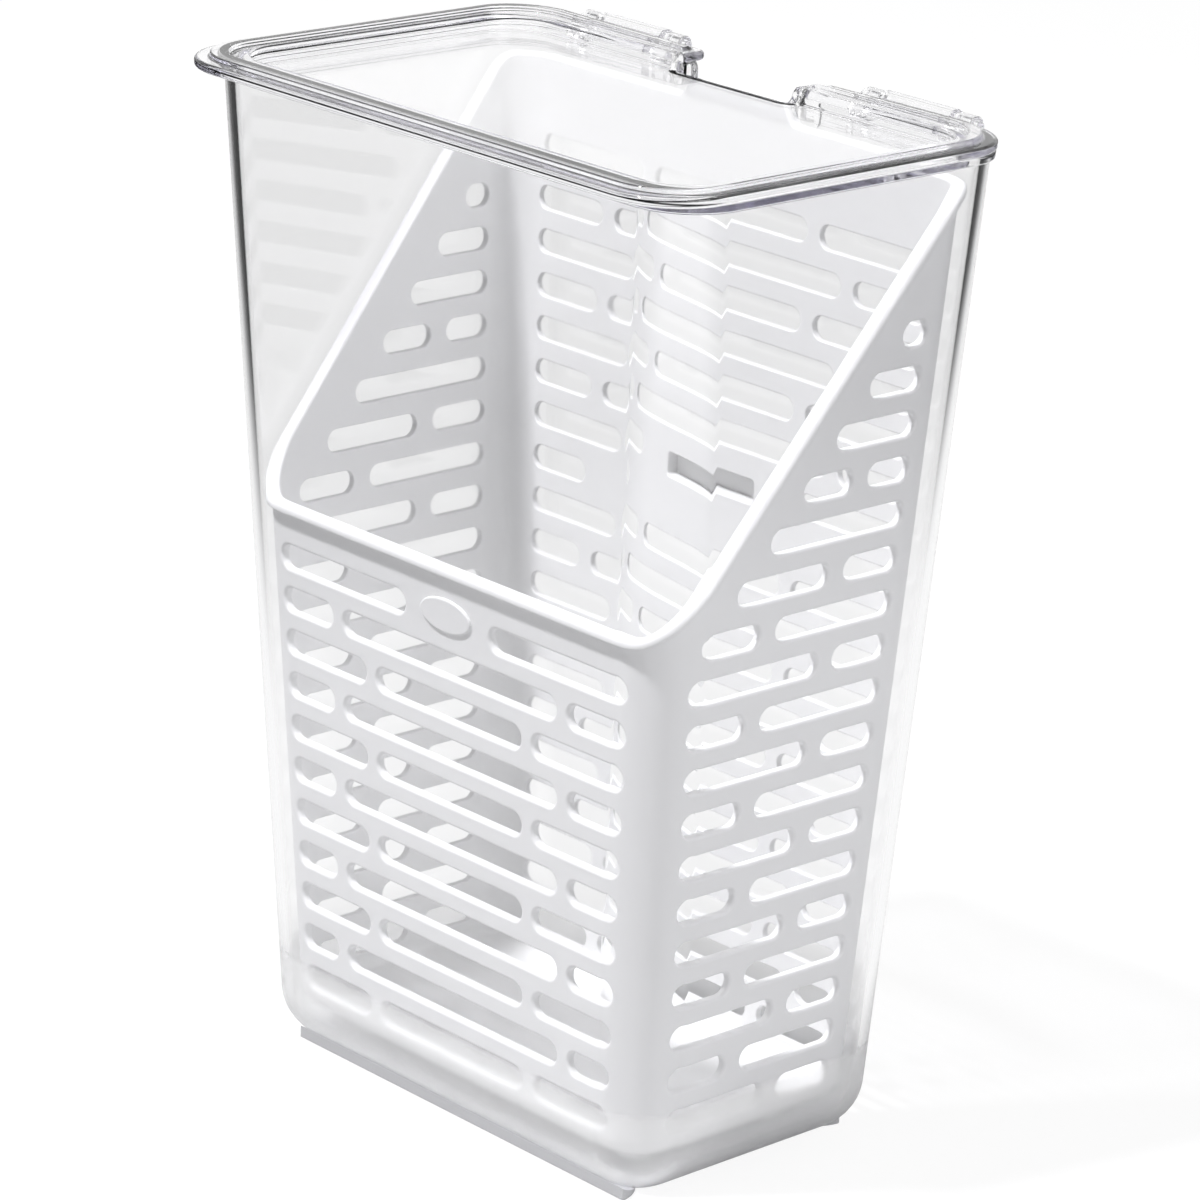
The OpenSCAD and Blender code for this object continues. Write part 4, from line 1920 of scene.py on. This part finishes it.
@dataclass
class Studio:
    """White floor, soft lamps and the photograph's camera, with lengths in metres.

    Attributes:
        azimuth: Direction of the camera round the object, in degrees.
        elevation: Its angle above the level, in degrees.
        roll: Its roll, in degrees.
        eye: Its place.
        lens: Its focal length in millimetres.
        sensor: Width of its sensor in millimetres.
        clip: Least and greatest distance that it sees.
        bounces: Turns that light may take, many because the clear lid traps it.
        ambient: Strength of the even light.
        ambient_blue: Its blue, as a share of the rest.
        sky: Heights of the ends of the sky's ramp.
        ring: Heights and levels of the dark ring that gloss and refraction show.
        floor_half: Half the width of the floor.
        floor_tone_and_painted_light: Tone of the floor near the object and away from it; the paler
            tone near it is
        painted light, for more light bounced onto the bottom of the object.
        near_floor: Distances between which the one becomes the other.
        gloss_white_strip: Offset of the middle of the white strip that gloss sees, and distances
            between which it ends.
        gloss_dark_beside_strip: Share of white that gloss loses beside the strip, a painted dark
            reflection.
        floor_seen: Paint and glow of the floor that the camera sees.
        lamps: The lamps.
        target: Point at which they are aimed.
    """

    azimuth: float = 46.286
    elevation: float = 18.711
    roll: float = 2.878
    eye: Triple = (0.7296131, -0.6900597, 0.4511629)
    lens: float = 152.16563
    sensor: float = 36.0
    clip: Pair = (0.05, 50.0)
    bounces: int = 48
    ambient: float = 0.30
    ambient_blue: float = 1.01
    sky: Pair = (0.10, 0.80)
    ring: tuple[Pair, ...] = ((0.505, 1.0), (0.515, 0.05), (0.535, 0.05), (0.545, 1.0))
    floor_half: float = 6.0
    # The near tone is paler than the far one: painted light on the floor near the object
    floor_tone_and_painted_light: Pair = (0.61, 0.46)
    near_floor: Pair = (0.06, 0.13)
    # A white strip that only gloss sees, and a painted dark reflection beside it
    gloss_white_strip: Triple = (0.05, 0.24, 0.50)
    gloss_dark_beside_strip: float = 0.94
    floor_seen: Pair = (0.16, 0.86)
    lamps: tuple[Lamp, ...] = (
        Lamp("key", (-0.32, -0.80, 1.74), 0.14, 41.0),
        Lamp("top", (0.1, 0.2, 1.8), 1.2, 3.0),
        Lamp("fill", (1.32, 0.1, 1.1), 0.9, 11.5),
    )
    target: Triple = (0.0, 0.0, 0.11)

    def camera(self) -> None:
        """Sets the camera by its place, direction and roll."""
        a, e, r = (math.radians(v) for v in (self.azimuth, self.elevation, self.roll))
        back = Vector((math.sin(a) * math.cos(e), -math.cos(a) * math.cos(e), math.sin(e)))
        level = Vector((math.cos(a), math.sin(a), 0))
        right = level * math.cos(r) + back.cross(level) * math.sin(r)
        up = back.cross(right)
        data = bpy.data.cameras.new("camera")
        data.lens = self.lens
        data.sensor_width = self.sensor
        data.clip_start, data.clip_end = self.clip
        cam = bpy.data.objects.new("camera", data)
        turn = Matrix((right, up, back)).transposed().to_4x4()
        cam.matrix_world = Matrix.Translation(self.eye) @ turn
        bpy.context.scene.collection.objects.link(cam)
        bpy.context.scene.camera = cam

    def world(self) -> None:
        """White to the camera, even soft light, and a dark ring in gloss and refraction."""
        world = bpy.data.worlds.new("studio")
        bpy.context.scene.world = world
        world.use_nodes = True
        board = NodeBoard(world.node_tree)
        path = board.add("LightPath").outputs
        way = board.add("TexCoord").outputs["Generated"]
        height = board.add("SeparateXYZ", Vector=way).outputs["Z"]
        ramp = board.add("ValToRGB", Fac=height)
        stops = ramp.color_ramp.elements
        for stop, at in zip(stops, self.sky):
            stop.position, stop.color = at, WHITE
        for at, level in self.ring:
            stops.new(at).color = (level, level, level, 1)
        shiny = board.sum("MAXIMUM", path["Is Glossy Ray"], path["Is Transmission Ray"])
        light = (self.ambient, self.ambient, self.ambient * self.ambient_blue, 1)
        seen = board.colour(shiny, light, ramp.outputs[0])
        shown = board.colour(path["Is Camera Ray"], seen, WHITE)
        back = board.add("Background", Color=shown, Strength=1.0)
        board.add("OutputWorld", Surface=back.outputs[0])

    def white_left(self, board: NodeBoard, place: NodeSocket, path: object) -> NodeSocket:
        """How white the floor looks in gloss: fully on a strip along the view, little beside it.

        Args:
            board: Nodes of the floor.
            place: Place on the floor.
            path: Outputs of the light path.

        Returns:
            The level, which is one for rays without a glossy turn; beside the strip, gloss sees a
            painted dark reflection.
        """
        turn = math.radians(self.azimuth)
        across = (math.cos(turn), math.sin(turn), 0)
        dot = board.add("VectorMath", {"operation": "DOT_PRODUCT"}, i0=place, i1=across)
        middle, begin, end = self.gloss_white_strip
        aside = board.sum("SUBTRACT", dot.outputs["Value"], middle)
        beside = board.spread(board.sum("ABSOLUTE", aside), begin, end, soft=True)
        turned = board.sum("MINIMUM", path["Glossy Depth"], 1.0)
        # Painted dark reflection: beside the strip the floor turns dark for rays after a glossy
        # turn
        dark = board.sum("MULTIPLY", beside, turned)
        return board.sum("MULTIPLY_ADD", dark, -self.gloss_dark_beside_strip, 1.0)

    def floor(self) -> None:
        """A wide pale floor that keeps the shadow and shows white to the camera and in gloss."""
        half = self.floor_half
        mesh = bpy.data.meshes.new("floor")
        corners = [(-half, -half, 0), (half, -half, 0), (half, half, 0), (-half, half, 0)]
        mesh.from_pydata(corners, [], [(0, 1, 2, 3)])
        obj = bpy.data.objects.new("floor", mesh)
        bpy.context.scene.collection.objects.link(obj)
        material, board = new_material("floor")
        path = board.add("LightPath").outputs
        shiny = board.sum("MAXIMUM", path["Is Glossy Ray"], path["Is Transmission Ray"])
        place = board.object_place()
        away = board.add("VectorMath", {"operation": "LENGTH"}, i0=place).outputs["Value"]
        far = board.spread(away, *self.near_floor, soft=True)
        # Painted light: the floor is paler near the object, so it bounces more light onto the
        # bottom of the object
        floor_with_painted_light = board.add("BsdfDiffuse", Color=board.spread(far, 0.0, 1.0, self.floor_tone_and_painted_light))
        tone, strength = self.floor_seen
        faint = board.add("BsdfDiffuse", Color=(tone, tone, tone, 1))
        glow = board.add("Emission", Color=WHITE, Strength=strength)
        lit = board.add("AddShader", i0=faint.outputs[0], i1=glow.outputs[0])
        # Painted dark reflection: away from the object, gloss sees the floor white on the strip and
        # dark beside it
        white = board.add("Emission", Color=WHITE, Strength=self.white_left(board, place, path))
        bounced = board.blend(shiny, floor_with_painted_light, board.blend(far, floor_with_painted_light, white))
        both = board.blend(path["Is Camera Ray"], bounced, lit)
        board.add("OutputMaterial", Surface=both.outputs[0])
        mesh.materials.append(material)

    def build(self) -> None:
        """Sets up everything that isn't part of the object."""
        bpy.context.scene.view_settings.view_transform = "Standard"
        paths = bpy.context.scene.cycles
        paths.max_bounces = paths.transmission_bounces = self.bounces
        paths.glossy_bounces = paths.transparent_max_bounces = self.bounces
        self.camera()
        self.world()
        self.floor()
        for lamp in self.lamps:
            lamp.build(self.target)


def main() -> None:
    """Builds the studio and every sub-assembly in order, and reports each piece."""
    logging.basicConfig(level=logging.INFO, format="%(name)s: %(message)s")
    Studio().build()
    clear_body = ClearPlastic("clear_body_plastic", tint=(0.80, 0.80, 0.82), density=50.0,
                              frost_below=0.021).make()
    clear_lid = ClearPlastic("clear_lid_plastic").make()
    pins = ClearPlastic("hinge_pin_plastic", gloss=(0.05, 0.1)).make()
    white = SatinPlastic("white_basket_plastic", light=(0.86, 0.86, 0.86),
                         dark=(0.83, 0.83, 0.83)).make()
    rubber = SatinPlastic("grey_foot_rubber", light=(0.55, 0.55, 0.56), dark=(0.47, 0.47, 0.48),
                          rough=(0.55, 0.7), grain=(1500.0, 2.0), relief=(0.12, 0.0003)).make()
    container = Container()
    pieces = container.build(clear_body) + Lid().build(clear_lid) + Basket().build(white)
    pieces += Hinge().build(clear_body, clear_lid, pins) + FootStrips(container).build(rubber)
    for piece in pieces:
        LOG.info("%s: %d faces", piece.name, len(piece.data.polygons))


if __name__ == "__main__":
    main()
